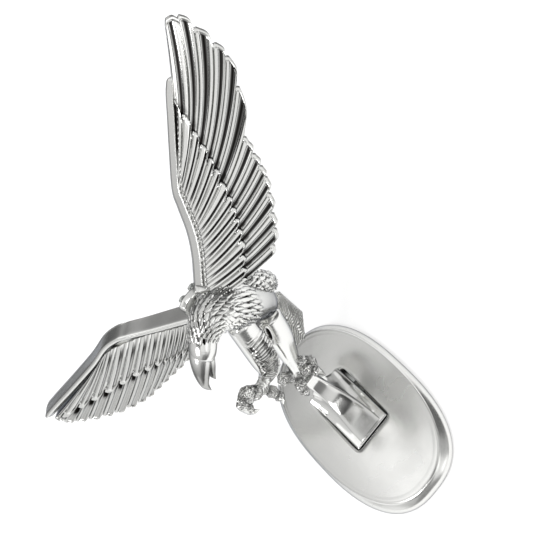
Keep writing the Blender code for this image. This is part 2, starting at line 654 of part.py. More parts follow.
def build_tail(chrome):
    """Fan of tail feathers: a thin plate flaring from its root to a rounded end."""
    upper = smooth_path(millimetres(TAIL_UPPER_SIDE), 6)
    lower = smooth_path(millimetres(TAIL_LOWER_SIDE), 6)
    end = smooth_path(millimetres([TAIL_UPPER_SIDE[-1], TAIL_END, TAIL_LOWER_SIDE[-1]]), 9)
    share = np.linspace(0.0, 1.0, 9)
    grid = upper[:, None] + (lower - upper)[:, None] * share[:, None]
    bulge = end - grid[-1]
    grid = grid + bulge * (np.linspace(0.0, 1.0, 6) ** 2)[:, None, None]
    thickness = np.linspace(TAIL_ROOT_THICKNESS, TAIL_END_THICKNESS, 6)[:, None, None]
    make_piece("tail", flipped(slab(grid, grid - TAIL_FRONT * thickness)), chrome)


def toe(points):
    """One clawed toe, tapering to its point."""
    path = smooth_path(millimetres(points), 7)
    return tube(path, sizes_along((TOE_ROOT, CLAW_POINT), len(path)), 8)


def build_leg(name, shank, sizes, toes, chrome, bore=None):
    """Feathered thigh, shank and clawed toes of one leg."""
    leg = make_piece(name, tube(smooth_path(millimetres(shank), 12), sizes_along(sizes, 12), 12), chrome)
    for index, points in enumerate(toes):
        combine(leg, make_piece(f"{name}_toe_{index}", toe(points), chrome, helper=True), "UNION")
    if bore:
        combine(leg, make_piece(f"{name}_bore", bore, chrome, helper=True), "DIFFERENCE")


def build_legs(chrome):
    build_leg("right_leg", RIGHT_SHANK, RIGHT_LEG_SIZES, RIGHT_TOES, chrome)
    x = PERCH[0]
    bore = cylinder((x, 0.0, RIVET_BOTTOM_Z + 2 * MM), (x, 0.0, RIVET_TOP_Z + GAP), RIVET_RADIUS + GAP, 12)
    build_leg("left_leg", LEFT_SHANK, LEFT_LEG_SIZES, LEFT_TOES, chrome, bore)


def build_foot_rivet(steel):
    x = PERCH[0]
    rivet = cylinder((x, 0.0, RIVET_BOTTOM_Z), (x, 0.0, RIVET_TOP_Z), RIVET_RADIUS, 12)
    make_piece("foot_rivet", rivet, steel)


def main():
    clear_scene()
    chrome = make_material("bright_chrome", (0.80, 0.81, 0.82), 1.0, 0.08)
    steel = make_material("zinc_plated_steel", (0.62, 0.62, 0.60), 1.0, 0.30)
    rubber = make_material("black_rubber", (0.03, 0.03, 0.03), 0.0, 0.80)
    foam = make_material("white_foam", (0.85, 0.85, 0.82), 0.0, 0.90)
    build_base_shell(chrome)
    build_base_plate(steel)
    build_plate_screws(steel)
    build_adhesive_pad(foam)
    build_pivot(steel)
    build_return_spring("return_spring_left", 1, steel)
    build_return_spring("return_spring_right", -1, steel)
    build_stop_bumper(rubber)
    build_pedestal(chrome)
    build_foot_rivet(steel)
    build_legs(chrome)
    build_body(chrome)
    build_tail(chrome)
    build_wing_yoke(chrome)
    build_yoke_screws(steel)
    build_wings(chrome)


main()
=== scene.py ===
"""Looks of a chromed bird-of-prey hood ornament: polished castings with feather relief on a domed base."""

import json
import math

import bpy
import numpy as np
from mathutils import Matrix, Vector


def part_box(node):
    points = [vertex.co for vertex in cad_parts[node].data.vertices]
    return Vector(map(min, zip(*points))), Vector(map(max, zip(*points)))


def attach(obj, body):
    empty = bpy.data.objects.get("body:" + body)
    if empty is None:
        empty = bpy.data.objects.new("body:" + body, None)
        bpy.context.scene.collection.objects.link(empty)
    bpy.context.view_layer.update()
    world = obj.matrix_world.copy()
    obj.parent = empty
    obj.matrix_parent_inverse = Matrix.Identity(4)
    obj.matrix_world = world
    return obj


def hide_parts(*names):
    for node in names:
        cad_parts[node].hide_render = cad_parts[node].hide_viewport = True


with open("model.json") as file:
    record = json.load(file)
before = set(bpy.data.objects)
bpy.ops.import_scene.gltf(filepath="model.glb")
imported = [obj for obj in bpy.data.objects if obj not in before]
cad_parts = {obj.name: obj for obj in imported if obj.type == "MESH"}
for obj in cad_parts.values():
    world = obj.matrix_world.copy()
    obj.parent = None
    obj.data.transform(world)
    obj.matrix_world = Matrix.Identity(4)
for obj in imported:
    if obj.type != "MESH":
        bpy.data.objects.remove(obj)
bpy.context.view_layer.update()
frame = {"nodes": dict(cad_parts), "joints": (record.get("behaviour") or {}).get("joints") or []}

MM = 0.001

# ---------------------------------------------------------------------------------------------
# Studio: a pale floor under an even sky. The sky that polished metal mirrors is mostly light grey,
# with white cards and dark flags in it, since plain white all round would leave chrome shapeless.

FLOOR_HALF, FLOOR_GREY, FLOOR_GLOW = 0.3, 0.78, 0.28
CARDS = [
    # direction, cosine at its outer edge, cosine at its inner edge, how many times the sky's brightness
    ((0.17, -0.155, 0.967), 0.950, 0.965, 0.04),  # dark flag overhead
    ((-0.40, -0.19, 0.90), 0.978, 0.994, 1.9),  # small white card overhead, towards the rear
    ((0.26, -0.96, -0.11), 0.88, 0.96, 2.3),  # white card low on the right
    ((0.70, 0.24, 0.67), 0.88, 0.96, 1.35),  # faint card above the front
    ((0.83, 0.50, 0.15), 0.93, 0.97, 2.4),  # white card low at the front left
    ((-0.20, 0.90, 0.35), 0.86, 0.95, 0.25),  # dark flag on the left
    ((-0.90, -0.25, 0.35), 0.86, 0.95, 0.30),  # dark flag at the rear
    ((0.95, -0.30, 0.10), 0.88, 0.96, 0.5),  # grey flag low at the front
    ((0.25, 0.75, 0.62), 0.92, 0.97, 0.7),  # grey flag above the left
]
SKY_STOPS = ((0.0, 0.34), (0.45, 0.62), (0.85, 0.72))
KEY_PLACE, KEY_SIZE, KEY_POWER = (0.25, -0.45, 0.9), 0.35, 3.0
BIRD_MIDDLE = (-0.02, 0.0, 0.05)


def floor_finish():
    """Matt pale paper with an even glow, which keeps its shadows soft."""
    material = bpy.data.materials.new("floor_paper")
    material.use_nodes = True
    shader = material.node_tree.nodes["Principled BSDF"]
    shader.inputs["Base Color"].default_value = (FLOOR_GREY, FLOOR_GREY, FLOOR_GREY, 1)
    shader.inputs["Roughness"].default_value = 0.9
    shader.inputs["Emission Color"].default_value = (1, 1, 1, 1)
    shader.inputs["Emission Strength"].default_value = FLOOR_GLOW
    return material


floor_mesh = bpy.data.meshes.new("floor")
corners = [(-1, -1), (1, -1), (1, 1), (-1, 1)]
floor_mesh.from_pydata([(x * FLOOR_HALF, y * FLOOR_HALF, 0.0) for x, y in corners], [], [(0, 1, 2, 3)])
floor_mesh.materials.append(floor_finish())
floor = bpy.data.objects.new("floor", floor_mesh)
bpy.context.scene.collection.objects.link(floor)

world = bpy.data.worlds.new("studio")
bpy.context.scene.world = world
world.use_nodes = True
sky = world.node_tree
sky.nodes.clear()


def sky_math(operation, first, second):
    """One Math node whose inputs are numbers or other nodes' outputs."""
    node = sky.nodes.new("ShaderNodeMath")
    node.operation = operation
    for socket, value in zip(node.inputs, (first, second)):
        if isinstance(value, (int, float)):
            socket.default_value = value
        else:
            sky.links.new(value, socket)
    return node.outputs[0]


direction = sky.nodes.new("ShaderNodeTexCoord").outputs["Generated"]
height = sky.nodes.new("ShaderNodeSeparateXYZ")
sky.links.new(direction, height.inputs[0])
grey = sky.nodes.new("ShaderNodeValToRGB")
sky.links.new(height.outputs["Z"], grey.inputs["Fac"])
grey.color_ramp.elements.new(SKY_STOPS[1][0])
for stop, (height_z, value) in zip(grey.color_ramp.elements, SKY_STOPS):
    stop.position, stop.color = height_z, (value, value, value, 1)
brightness = grey.outputs["Color"]
for aim, start, full, gain in CARDS:
    toward = sky.nodes.new("ShaderNodeVectorMath")
    toward.operation = "DOT_PRODUCT"
    sky.links.new(direction, toward.inputs[0])
    toward.inputs[1].default_value = np.array(aim) / np.linalg.norm(aim)
    ramp = sky.nodes.new("ShaderNodeMapRange")
    ramp.interpolation_type = "SMOOTHSTEP"
    ramp.inputs["From Min"].default_value, ramp.inputs["From Max"].default_value = start, full
    ramp.inputs["To Min"].default_value, ramp.inputs["To Max"].default_value = 1.0, gain
    sky.links.new(toward.outputs["Value"], ramp.inputs["Value"])
    brightness = sky_math("MULTIPLY", brightness, ramp.outputs["Result"])
mirrored = sky.nodes.new("ShaderNodeBackground")
sky.links.new(brightness, mirrored.inputs["Color"])
even = sky.nodes.new("ShaderNodeBackground")
even.inputs["Color"].default_value = (1.0, 1.0, 1.0, 1)
choice = sky.nodes.new("ShaderNodeMixShader")
sky.links.new(sky.nodes.new("ShaderNodeLightPath").outputs["Is Glossy Ray"], choice.inputs[0])
sky.links.new(even.outputs[0], choice.inputs[1])
sky.links.new(mirrored.outputs[0], choice.inputs[2])
sky.links.new(choice.outputs[0], sky.nodes.new("ShaderNodeOutputWorld").inputs["Surface"])


key_data = bpy.data.lights.new("key", "AREA")
key_data.shape, key_data.size, key_data.energy = "SQUARE", KEY_SIZE, KEY_POWER
key_light = bpy.data.objects.new("key", key_data)
key_light.location = KEY_PLACE
key_light.rotation_mode = "QUATERNION"
key_light.rotation_quaternion = (Vector(BIRD_MIDDLE) - Vector(KEY_PLACE)).to_track_quat("-Z", "Y")
bpy.context.scene.collection.objects.link(key_light)
bpy.context.scene.view_settings.view_transform = "Standard"

# Camera: above and in front of the ornament, rolled so that the base lies slantwise across the view.
CAMERA_PLACE = (0.2368, 0.0891, 0.3807)
CAMERA_RIGHT = (0.564, 0.601, -0.566)
CAMERA_UP = (-0.554, 0.784, 0.281)
CAMERA_BACK = (0.613, 0.155, 0.775)
CAMERA_LENS, CAMERA_SENSOR = 91.47, 36.0

camera = bpy.data.objects.new("camera", bpy.data.cameras.new("camera"))
camera.data.lens, camera.data.sensor_width = CAMERA_LENS, CAMERA_SENSOR
camera.data.clip_start, camera.data.clip_end = 0.02, 20.0
axes = Matrix((CAMERA_RIGHT, CAMERA_UP, CAMERA_BACK)).transposed()
camera.rotation_mode = "QUATERNION"
camera.rotation_quaternion = axes.to_quaternion()
camera.location = CAMERA_PLACE
bpy.context.scene.collection.objects.link(camera)
bpy.context.scene.camera = camera

# ---------------------------------------------------------------------------------------------
# Base shell: a domed oval zinc casting, polished and chromed, with a rolled edge round the dome and an
# oblong slot through which the pedestal's foot shows. Four screws join it to the plate underneath.

shell_low, shell_high = np.array(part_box("base_shell"))
RIM_HALF = (shell_high - shell_low)[:2] / 2
CREASE_HALF = RIM_HALF - 1.3 * MM
RIM_EXPONENT, CREASE_EXPONENT = 2.56, 2.27
RIM_Z = shell_low[2]
CREASE_Z, CROWN_Z = 4.8 * MM, 6.3 * MM
LOWER_EDGE = ((0.0, 1.2 * MM), (0.0, 0.25 * MM), (0.25 * MM, 0.0))  # height above the rim, inset from it
SIDE_BULGE, SIDE_CURVE, SIDE_RINGS = 0.35 * MM, 1.6, 14
ROLL_DROP, ROLL_WIDTH, ROLL_HEIGHT, ROLL_RINGS = 0.35 * MM, 0.9 * MM, 0.42 * MM, 7
DOME_INSET, DOME_RINGS = 1.0 * MM, 46
LIP_DROP, LIP_RINGS = 0.28 * MM, 1.2
SLOT_MIDDLE = np.array((-2.15, 0.0)) * MM
SLOT_HALF = np.array((12.85, 8.0)) * MM
SLOT_EXPONENT, SLOT_TAPER, SLOT_LIP = 14.0, 0.985, 0.9 * MM
SHELL_WALL, UNDER_RINGS = 1.3 * MM, 10
SHELL_COLUMNS = 360
# The first colour is the chrome's own; the second is painted shade, mixed in along grooves and hollows.
PLATE_BRIGHT, PAINTED_SHADE_GREY = (0.82, 0.82, 0.80, 1), (0.012, 0.011, 0.010, 1)
CHROME_EDGE_TINT = (0.22, 0.23, 0.26, 1)
HAZE_SCALE, HAZE_LOW, HAZE_HIGH = 60.0, 0.3, 0.75


def noise(tree, place, scale, detail):
    """Soft random value, 0 to 1, read at a place with the given number of patches to the metre."""
    node = tree.nodes.new("ShaderNodeTexNoise")
    node.inputs["Scale"].default_value, node.inputs["Detail"].default_value = scale, detail
    tree.links.new(place, node.inputs["Vector"])
    return node.outputs["Fac"]


def grain_bump(tree, shader, height, depth):
    """Tilts the surface as if it rose and fell with the height, which is 0 to 1 times the depth."""
    bump = tree.nodes.new("ShaderNodeBump")
    bump.inputs["Strength"].default_value, bump.inputs["Distance"].default_value = 1.0, depth
    tree.links.new(height, bump.inputs["Height"])
    tree.links.new(bump.outputs["Normal"], shader.inputs["Normal"])


def chrome_finish(name, grain_size, grain_depth, recess_shade, roughness=(0.10, 0.20)):
    """Bright chrome plate: a mirror with a fine cast grain and hazy patches. The recess attribute mixes
    painted shade into the colour at the bottoms of grooves, in place of the dark reflections there, by the
    share given as the fourth argument."""
    material = bpy.data.materials.new(name)
    material.use_nodes = True
    tree = material.node_tree
    shader = tree.nodes["Principled BSDF"]
    shader.inputs["Metallic"].default_value = 1.0
    shader.inputs["Specular Tint"].default_value = CHROME_EDGE_TINT
    place = tree.nodes.new("ShaderNodeTexCoord").outputs["Object"]
    # Painted shade: the recess attribute blends the base colour towards the near-black grey in grooves and
    # hollows.
    recess = tree.nodes.new("ShaderNodeAttribute")
    recess.attribute_name = "recess"
    depth = tree.nodes.new("ShaderNodeMapRange")
    depth.inputs["To Max"].default_value = recess_shade
    tree.links.new(recess.outputs["Fac"], depth.inputs["Value"])
    colour = tree.nodes.new("ShaderNodeMix")
    colour.data_type = "RGBA"
    colour.inputs[6].default_value, colour.inputs[7].default_value = PLATE_BRIGHT, PAINTED_SHADE_GREY
    tree.links.new(depth.outputs["Result"], colour.inputs[0])
    tree.links.new(colour.outputs[2], shader.inputs["Base Color"])
    shine = tree.nodes.new("ShaderNodeMapRange")
    shine.inputs["From Min"].default_value, shine.inputs["From Max"].default_value = HAZE_LOW, HAZE_HIGH
    shine.inputs["To Min"].default_value, shine.inputs["To Max"].default_value = roughness
    tree.links.new(noise(tree, place, HAZE_SCALE, 4.0), shine.inputs["Value"])
    tree.links.new(shine.outputs["Result"], shader.inputs["Roughness"])
    grain_bump(tree, shader, noise(tree, place, 1.0 / grain_size, 3.0), grain_depth)
    return material


smooth_chrome = chrome_finish("smooth_chrome", 6 * MM, 0.02 * MM, 0.9)
satin_chrome = chrome_finish("satin_chrome", 5 * MM, 0.03 * MM, 0.9, (0.18, 0.30))
relief_chrome = chrome_finish("relief_chrome", 0.6 * MM, 0.012 * MM, 1.0)


def grid_quads(rows, columns, closed_rows=False, closed_columns=False):
    """Corner indices of every square of a grid of points, which may join up end to end either way."""
    a = np.arange(rows - (not closed_rows))[:, None]
    b = np.arange(columns - (not closed_columns))[None]
    a_next, b_next = (a + 1) % rows, (b + 1) % columns
    corners = (a * columns + b, a_next * columns + b, a_next * columns + b_next, a * columns + b_next)
    return np.stack(corners, axis=-1).reshape(-1, 4)


def cast_piece(name, points, faces, finish, body, nodes=(), recess=None, sharp=50.0):
    """A closed mesh from points in metres, turned to face outwards by the sign of its volume, which is the
    sum of the corner points' triple products. It stands for the given nodes. The recess values, which set
    the painted shade in its finish, belong to the first points, and the rest have none."""
    points = np.asarray(points, float).reshape(-1, 3)
    quads = np.array([face for face in faces if len(face) == 4])
    triangles = np.array([face for face in faces if len(face) == 3], int).reshape(-1, 3)
    corners = np.vstack([quads[:, :3], quads[:, [0, 2, 3]], triangles])
    a, b, c = points[corners[:, 0]], points[corners[:, 1]], points[corners[:, 2]]
    if (a * np.cross(b, c)).sum() < 0:
        quads, triangles = quads[:, ::-1], triangles[:, ::-1]
    mesh = bpy.data.meshes.new(name)
    mesh.from_pydata(points.tolist(), [], quads.tolist() + triangles.tolist())
    mesh.materials.append(finish)
    mesh.shade_smooth()
    mesh.set_sharp_from_angle(angle=math.radians(sharp))
    if recess is not None:
        values = np.zeros(len(points), np.float32)
        values[: np.size(recess)] = np.clip(recess, 0, 1).ravel()
        mesh.attributes.new("recess", "FLOAT", "POINT").data.foreach_set("value", values)
    piece = bpy.data.objects.new(name, mesh)
    bpy.context.scene.collection.objects.link(piece)
    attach(piece, body)
    if nodes:
        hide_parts(*nodes)


def oval(half, exponent, columns=SHELL_COLUMNS):
    """Superellipse in the XY plane: each coordinate is its half size times a power of cosine or sine."""
    turn = np.linspace(0, 2 * math.pi, columns, endpoint=False)
    wave = np.stack([np.cos(turn), np.sin(turn)], axis=1)
    return np.sign(wave) * np.abs(wave) ** (2.0 / exponent) * half


def inset_oval(edge, half, inset):
    """An oval edge shrunk about the middle, so that its narrow sides move in by the inset."""
    return edge * (1 - inset / half.min())


def ring_at(places, height):
    """Points over XY places, at one height or at a height for each."""
    return np.column_stack([places, np.broadcast_to(height, len(places))])


def dome_height(places):
    """The dome falls from its crown with the square of the superellipse distance from the middle."""
    share = (np.abs(places / CREASE_HALF) ** CREASE_EXPONENT).sum(axis=-1) ** (1 / CREASE_EXPONENT)
    return CREASE_Z + (CROWN_Z - CREASE_Z) * (1 - share**2)


def shell_rings():
    """Rings of points from the lower edge up the side, over the rolled edge, in across the dome to the
    slot, and back out under the wall. Each stretch blends two ovals by a share that runs from 0 to 1."""
    rim, crease = oval(RIM_HALF, RIM_EXPONENT), oval(CREASE_HALF, CREASE_EXPONENT)
    slot = oval(SLOT_HALF, SLOT_EXPONENT)
    slot_edge, slot_throat = slot + SLOT_MIDDLE, slot * SLOT_TAPER + SLOT_MIDDLE
    roll_foot = CREASE_Z - ROLL_DROP
    rings = [ring_at(inset_oval(rim, RIM_HALF, inset), RIM_Z + lift) for lift, inset in LOWER_EDGE]
    for share in np.linspace(0.05, 1.0, SIDE_RINGS):
        side = rim + (crease - rim) * share**SIDE_CURVE
        bulge = -SIDE_BULGE * math.sin(math.pi * share)
        rings.append(ring_at(inset_oval(side, RIM_HALF, bulge), RIM_Z + (roll_foot - RIM_Z) * share))
    for roll in np.linspace(0.15, 1.0, ROLL_RINGS) * math.pi * 0.5:
        edge = inset_oval(crease, CREASE_HALF, (1 - math.cos(roll)) * ROLL_WIDTH)
        rings.append(ring_at(edge, roll_foot + ROLL_HEIGHT * math.sin(roll)))
    dome_edge = inset_oval(crease, CREASE_HALF, DOME_INSET)
    for share in np.linspace(0.03, 1.0, DOME_RINGS):
        places = dome_edge + (slot_edge - dome_edge) * share
        lip = LIP_DROP * math.exp(-(((1 - share) * DOME_RINGS) / LIP_RINGS) ** 2)
        rings.append(ring_at(places, dome_height(places) - lip))
    under = dome_height(slot_edge) - SHELL_WALL
    rings += [ring_at(slot_throat, under + SLOT_LIP), ring_at(slot_throat, under)]
    inner_edge = inset_oval(crease, CREASE_HALF, SHELL_WALL * 1.6)
    for share in np.linspace(0.1, 1.0, UNDER_RINGS):
        places = slot_edge + (inner_edge - slot_edge) * share
        rings.append(ring_at(places, dome_height(places) - SHELL_WALL))
    return np.array(rings)


rings = shell_rings()
faces = grid_quads(len(rings), SHELL_COLUMNS, closed_rows=True, closed_columns=True)
cast_piece("base_shell_polished", rings, faces, satin_chrome, "base", ["base_shell"], sharp=60.0)

# ---------------------------------------------------------------------------------------------
# Wings: each is one thin chromed casting, screwed to the yoke, with a fan of flight feathers, a layer of
# shorter covert feathers over their roots, and a thick smooth leading edge. Outlines are (span, chord)
# places in mm from the wing's root; span, chord and front are the wing's own directions.

BIRD_YAW, BIRD_LEAN, BIRD_ROLL = -9.0, -28.0, 20.0
WING_SWEEP, WING_RAISE, WING_TWIST = 28.0, 15.0, -10.0
CURL, CURL_SPAN, HOLLOW, HOLLOW_CHORD = 4.0, 85.0, 2.5, 20.0
FEATHER_COLUMNS, FEATHER_ROWS = 24, 120
PLATE_DEPTH, EDGE_ROUNDING, EDGE_FALL = 2.2, 0.9, 1.1
COVERT_SHIFT, COVERT_LIFT, COVERT_SWELL = 0.42, 0.25, 0.62
LOBE_LENGTH, LOBE_START, LOBE_MIDDLE = 1.9, 0.6, 0.46
FLIGHT_HOLLOW, COVERT_HOLLOW = 0.53, 0.43
TIP_SPREAD = 1.3
BAND_ROWS, BAND_COLUMNS, BEAD_STEP = 260, 44, 1.5


def turn_matrix(axis, degrees):
    """Right-handed turn about an axis by Rodrigues' formula: I + sin(a) K + (1 - cos(a)) K K."""
    angle, skew = math.radians(degrees), np.cross(np.eye(3), axis)
    return np.eye(3) + math.sin(angle) * skew + (1.0 - math.cos(angle)) * skew @ skew


lean = turn_matrix((0, 0, 1), BIRD_YAW) @ turn_matrix((0, 1, 0), BIRD_LEAN)
CHEST, LEFT, HEAD = (lean @ turn_matrix((1, 0, 0), BIRD_ROLL)).T


def wing_axes(side):
    """Span, chord and front directions; side is 1 for the bird's left wing and -1 for its right."""
    sweep, lift, twist = np.radians((WING_SWEEP, WING_RAISE, WING_TWIST))
    level = math.cos(sweep) * side * LEFT - math.sin(sweep) * CHEST
    span = math.cos(lift) * level + math.sin(lift) * HEAD
    chord = -HEAD + span * (HEAD @ span)
    chord /= np.linalg.norm(chord)
    chord = math.cos(twist) * chord + math.sin(twist) * np.cross(span, chord) * side
    return span, chord, -np.cross(span, chord) * side


def on_wing(wing, flat, rise):
    """World point: root + u span + v chord + (camber + rise) front, where the camber grows with u squared
    and v squared."""
    u, v = flat[..., 0], flat[..., 1]
    out = CURL * (u / CURL_SPAN) ** 2 + HOLLOW * (v / HOLLOW_CHORD) ** 2 + rise
    span, chord, front = wing["axes"]
    return (wing["root"] + u[..., None] * span + v[..., None] * chord + out[..., None] * front) * MM


def smooth_line(points, count):
    """Catmull-Rom curve through the points, evenly spread in its own parameter."""
    points = np.asarray(points, float)
    padded = np.vstack([2 * points[0] - points[1], points, 2 * points[-1] - points[-2]])
    spread = np.linspace(0, len(points) - 1, count)
    index = np.minimum(spread.astype(int), len(points) - 2)
    t = (spread - index)[:, None]
    a, b, c, d = (padded[index + k] for k in range(4))
    linear, square, cube = c - a, 2 * a - 5 * b + 4 * c - d, 3 * b - a - 3 * c + d
    return 0.5 * (2 * b + linear * t + square * t**2 + cube * t**3)


def eased(value, low, high):
    """0 below low, 1 above high, and the cubic 3t^2 - 2t^3 between."""
    t = np.clip((value - low) / (high - low), 0, 1)
    return t * t * (3 - 2 * t)


def bell(value, middle, width):
    """Gaussian bump: e to the minus square of the distance from its middle over its width."""
    return np.exp(-(((value - middle) / width) ** 2))


def feather_ends(tips, angles):
    """Where each column of the fan ends: along a row of slanting arcs, each from a notch, up and round a
    feather's tip, and down its trailing side to the notch beside the next tip. A notch is most of the way
    to the next tip and a little inside the line between them, and a shoulder is nearer and outside it."""
    tips = np.asarray(tips, float)
    edges = np.diff(tips, axis=0)
    spans = np.linalg.norm(edges, axis=1, keepdims=True)
    outward = np.stack([edges[:, 1], -edges[:, 0]], axis=1) / spans
    turn = np.radians(angles)
    along = np.stack([np.cos(turn), np.sin(turn)], axis=1)
    outward *= np.sign((outward * along[:-1]).sum(axis=1, keepdims=True))
    notch = tips[:-1] + (1 - np.clip(1.1 / spans, 0.1, 0.3)) * edges
    notch = notch - np.clip(0.16 * spans, 0.5, 1.1) * outward
    shoulder = tips[:-1] + 0.40 * edges + np.clip(0.09 * spans, 0.2, 0.9) * outward
    across = np.stack([-along[:, 1], along[:, 0]], axis=1)
    first = tips[:1] - 1.3 * across[:1] - 1.6 * along[:1]
    last = tips[-1:] + 0.9 * across[-1:] - 3.5 * along[-1:]
    before, after = np.vstack([first, notch]), np.vstack([notch, last])
    shoulder = np.vstack([shoulder, tips[-1:] + 0.9 * across[-1:] - 0.9 * along[-1:]])
    climb = np.linalg.norm(tips - before, axis=1, keepdims=True)
    rise = 0.5 * (before + tips) + np.clip(0.22 * climb, 0.1, 0.5) * along
    arcs = np.stack([before, rise, tips, shoulder, after], axis=1)
    return np.vstack([smooth_line(arc, FEATHER_COLUMNS + 1)[:-1] for arc in arcs] + [last])


def shelf(value, start, stop, softness):
    """1 between start and stop and 0 outside, with eased edges."""
    begun, ended = (eased(value, at - softness, at + softness) for at in (start, stop))
    return begun * (1 - ended)


def quill_profile(across, margin):
    """Height across one feather: a broad flat quill, a hollow beside it, and a lower flat trailing edge."""
    return shelf(across, 0.07, 0.45, 0.04) + 0.55 * shelf(across, 0.72, 0.96, 0.04) - margin


def quill_hollow(across, start):
    """1 in the hollow beside the quill, from start on, and less in the thin line between two feathers."""
    return shelf(across, start, 0.68, 0.025) + 0.45 * (bell(across, 1.0, 0.03) + bell(across, 0.01, 0.03))


def closed_plate(front, back):
    """Points and faces of a plate between two grids of points: the front, the back turned round, and a wall
    that joins their borders."""
    rows, columns = front.shape[:2]
    count = rows * columns
    index = np.arange(count).reshape(rows, columns)
    border = np.concatenate([index[0, :-1], index[:-1, -1], index[-1, :0:-1], index[:0:-1, 0]])
    after = np.roll(border, -1)
    wall = np.stack([after, border, border + count, after + count], axis=1)
    quads = grid_quads(rows, columns)
    points = np.vstack([front.reshape(-1, 3), back.reshape(-1, 3)])
    return points, np.vstack([quads, quads[:, ::-1] + count, wall])


def feather_fan(wing):
    """Grid of (span, chord) places on curved columns from the arm to the feather tips, with the share of
    each place down its column and the column's length. A column is the quadratic Bezier curve
    (1-t)^2 S + 2t(1-t) C + t^2 E, bulging towards the trailing side."""
    ends = feather_ends(wing["tips"], np.linspace(*wing["angles"], len(wing["tips"])))
    columns = len(ends)
    starts = smooth_line(wing["starts"], columns)
    reach = ends - starts
    side = np.stack([-reach[:, 1], reach[:, 0]], axis=1)
    amount = np.interp(np.arange(columns) / FEATHER_COLUMNS, (0, 1, len(wing["tips"])), wing["bulge"])
    bulge = starts + 0.5 * reach + amount[:, None] * side
    share = (1 - (1 - np.linspace(0, 1, FEATHER_ROWS)) ** TIP_SPREAD)[:, None]
    t = share[..., None]
    flat = (1 - t) ** 2 * starts + 2 * (t * (1 - t)) * bulge + t**2 * ends
    return flat, share, np.linalg.norm(reach, axis=1)[None]


def build_feathers(name, wing, node):
    """Flight and covert feathers as heights over the fan: a covert covers the flight feathers as far as
    its lobe, an ellipse past the covert line. The recess is painted shade in the quill hollows and at the
    coverts' feet."""
    flat, share, length = feather_fan(wing)
    from_tip, from_arm = (1 - share) * length, share * length
    across = (np.arange(flat.shape[1]) % FEATHER_COLUMNS / FEATHER_COLUMNS)[None] + 0 * share
    covert = np.array(wing["covert_line"])
    line = np.interp(flat[..., 0], covert[::-1, 0], covert[::-1, 1])
    beyond = np.clip(flat[..., 0] - covert[0, 0], 0, None) * 0.9
    past = flat[..., 1] - line + beyond
    shifted = (across + COVERT_SHIFT) % 1.0
    lobe = LOBE_LENGTH * np.sqrt(np.clip(1 - (2 * (shifted - LOBE_MIDDLE)) ** 2, 0, 1)) - LOBE_START
    over = eased(lobe - past, -0.12, 0.22)

    swell = eased(from_tip, 0.0, 2.5) * eased(from_arm, 0.0, 3.0)
    narrow = np.clip(0.35 + from_arm / 14.0, 0, 1)
    at_tip = 1 - eased(from_tip, wing["tip_rim"] - 0.3, wing["tip_rim"] + 0.3)
    at_step = 1 - eased(lobe - past, 0.7, 1.3)
    flight = wing["relief"] * narrow * (quill_profile(across, 0.25) * (1 - at_tip) + 0.5 * at_tip)
    cover = wing["relief"] * narrow * (quill_profile(shifted, 0.1) * (1 - at_step) + 0.8 * at_step)
    cover = cover + COVERT_SWELL * eased(past, -12, -1)
    edge = np.sqrt(np.clip(1 - (1 - np.clip(from_tip / EDGE_ROUNDING, 0, 1)) ** 2, 0, 1))
    rise = (1 - over) * flight + over * (cover + COVERT_LIFT) - (1 - edge) * EDGE_FALL
    foot = bell(lobe - past, -1.0, 0.85) * (1 - over) * bell(across, 0.62, 0.22)
    # Painted shade in the quill hollows, at the covert steps and at the coverts' roots.
    dark = (1 - over) * quill_hollow(across, FLIGHT_HOLLOW) * (1 - at_tip) * eased(from_arm, 2.0, 6.0)
    dark += over * quill_hollow(shifted, COVERT_HOLLOW) * eased(from_arm, 1.0, 4.0) * (1 - at_step)
    dark += wing["dark_roots"] * over * quill_hollow(shifted, COVERT_HOLLOW) * bell(from_arm, 5.0, 3.5)
    dark = dark * wing["dark_hollows"] * np.clip(0.7 + from_arm / 20.0, 0, 1)
    dark = np.clip(dark + foot * wing["dark_steps"], 0, 1)

    back = -PLATE_DEPTH + 0.3 * swell * np.sin(math.pi * across) - 0.1
    back = back + (1 - edge) * 0.35
    points, faces = closed_plate(on_wing(wing, flat, rise), on_wing(wing, flat, back))
    cast_piece(name, points, faces, relief_chrome, "bird", [node], recess=dark)


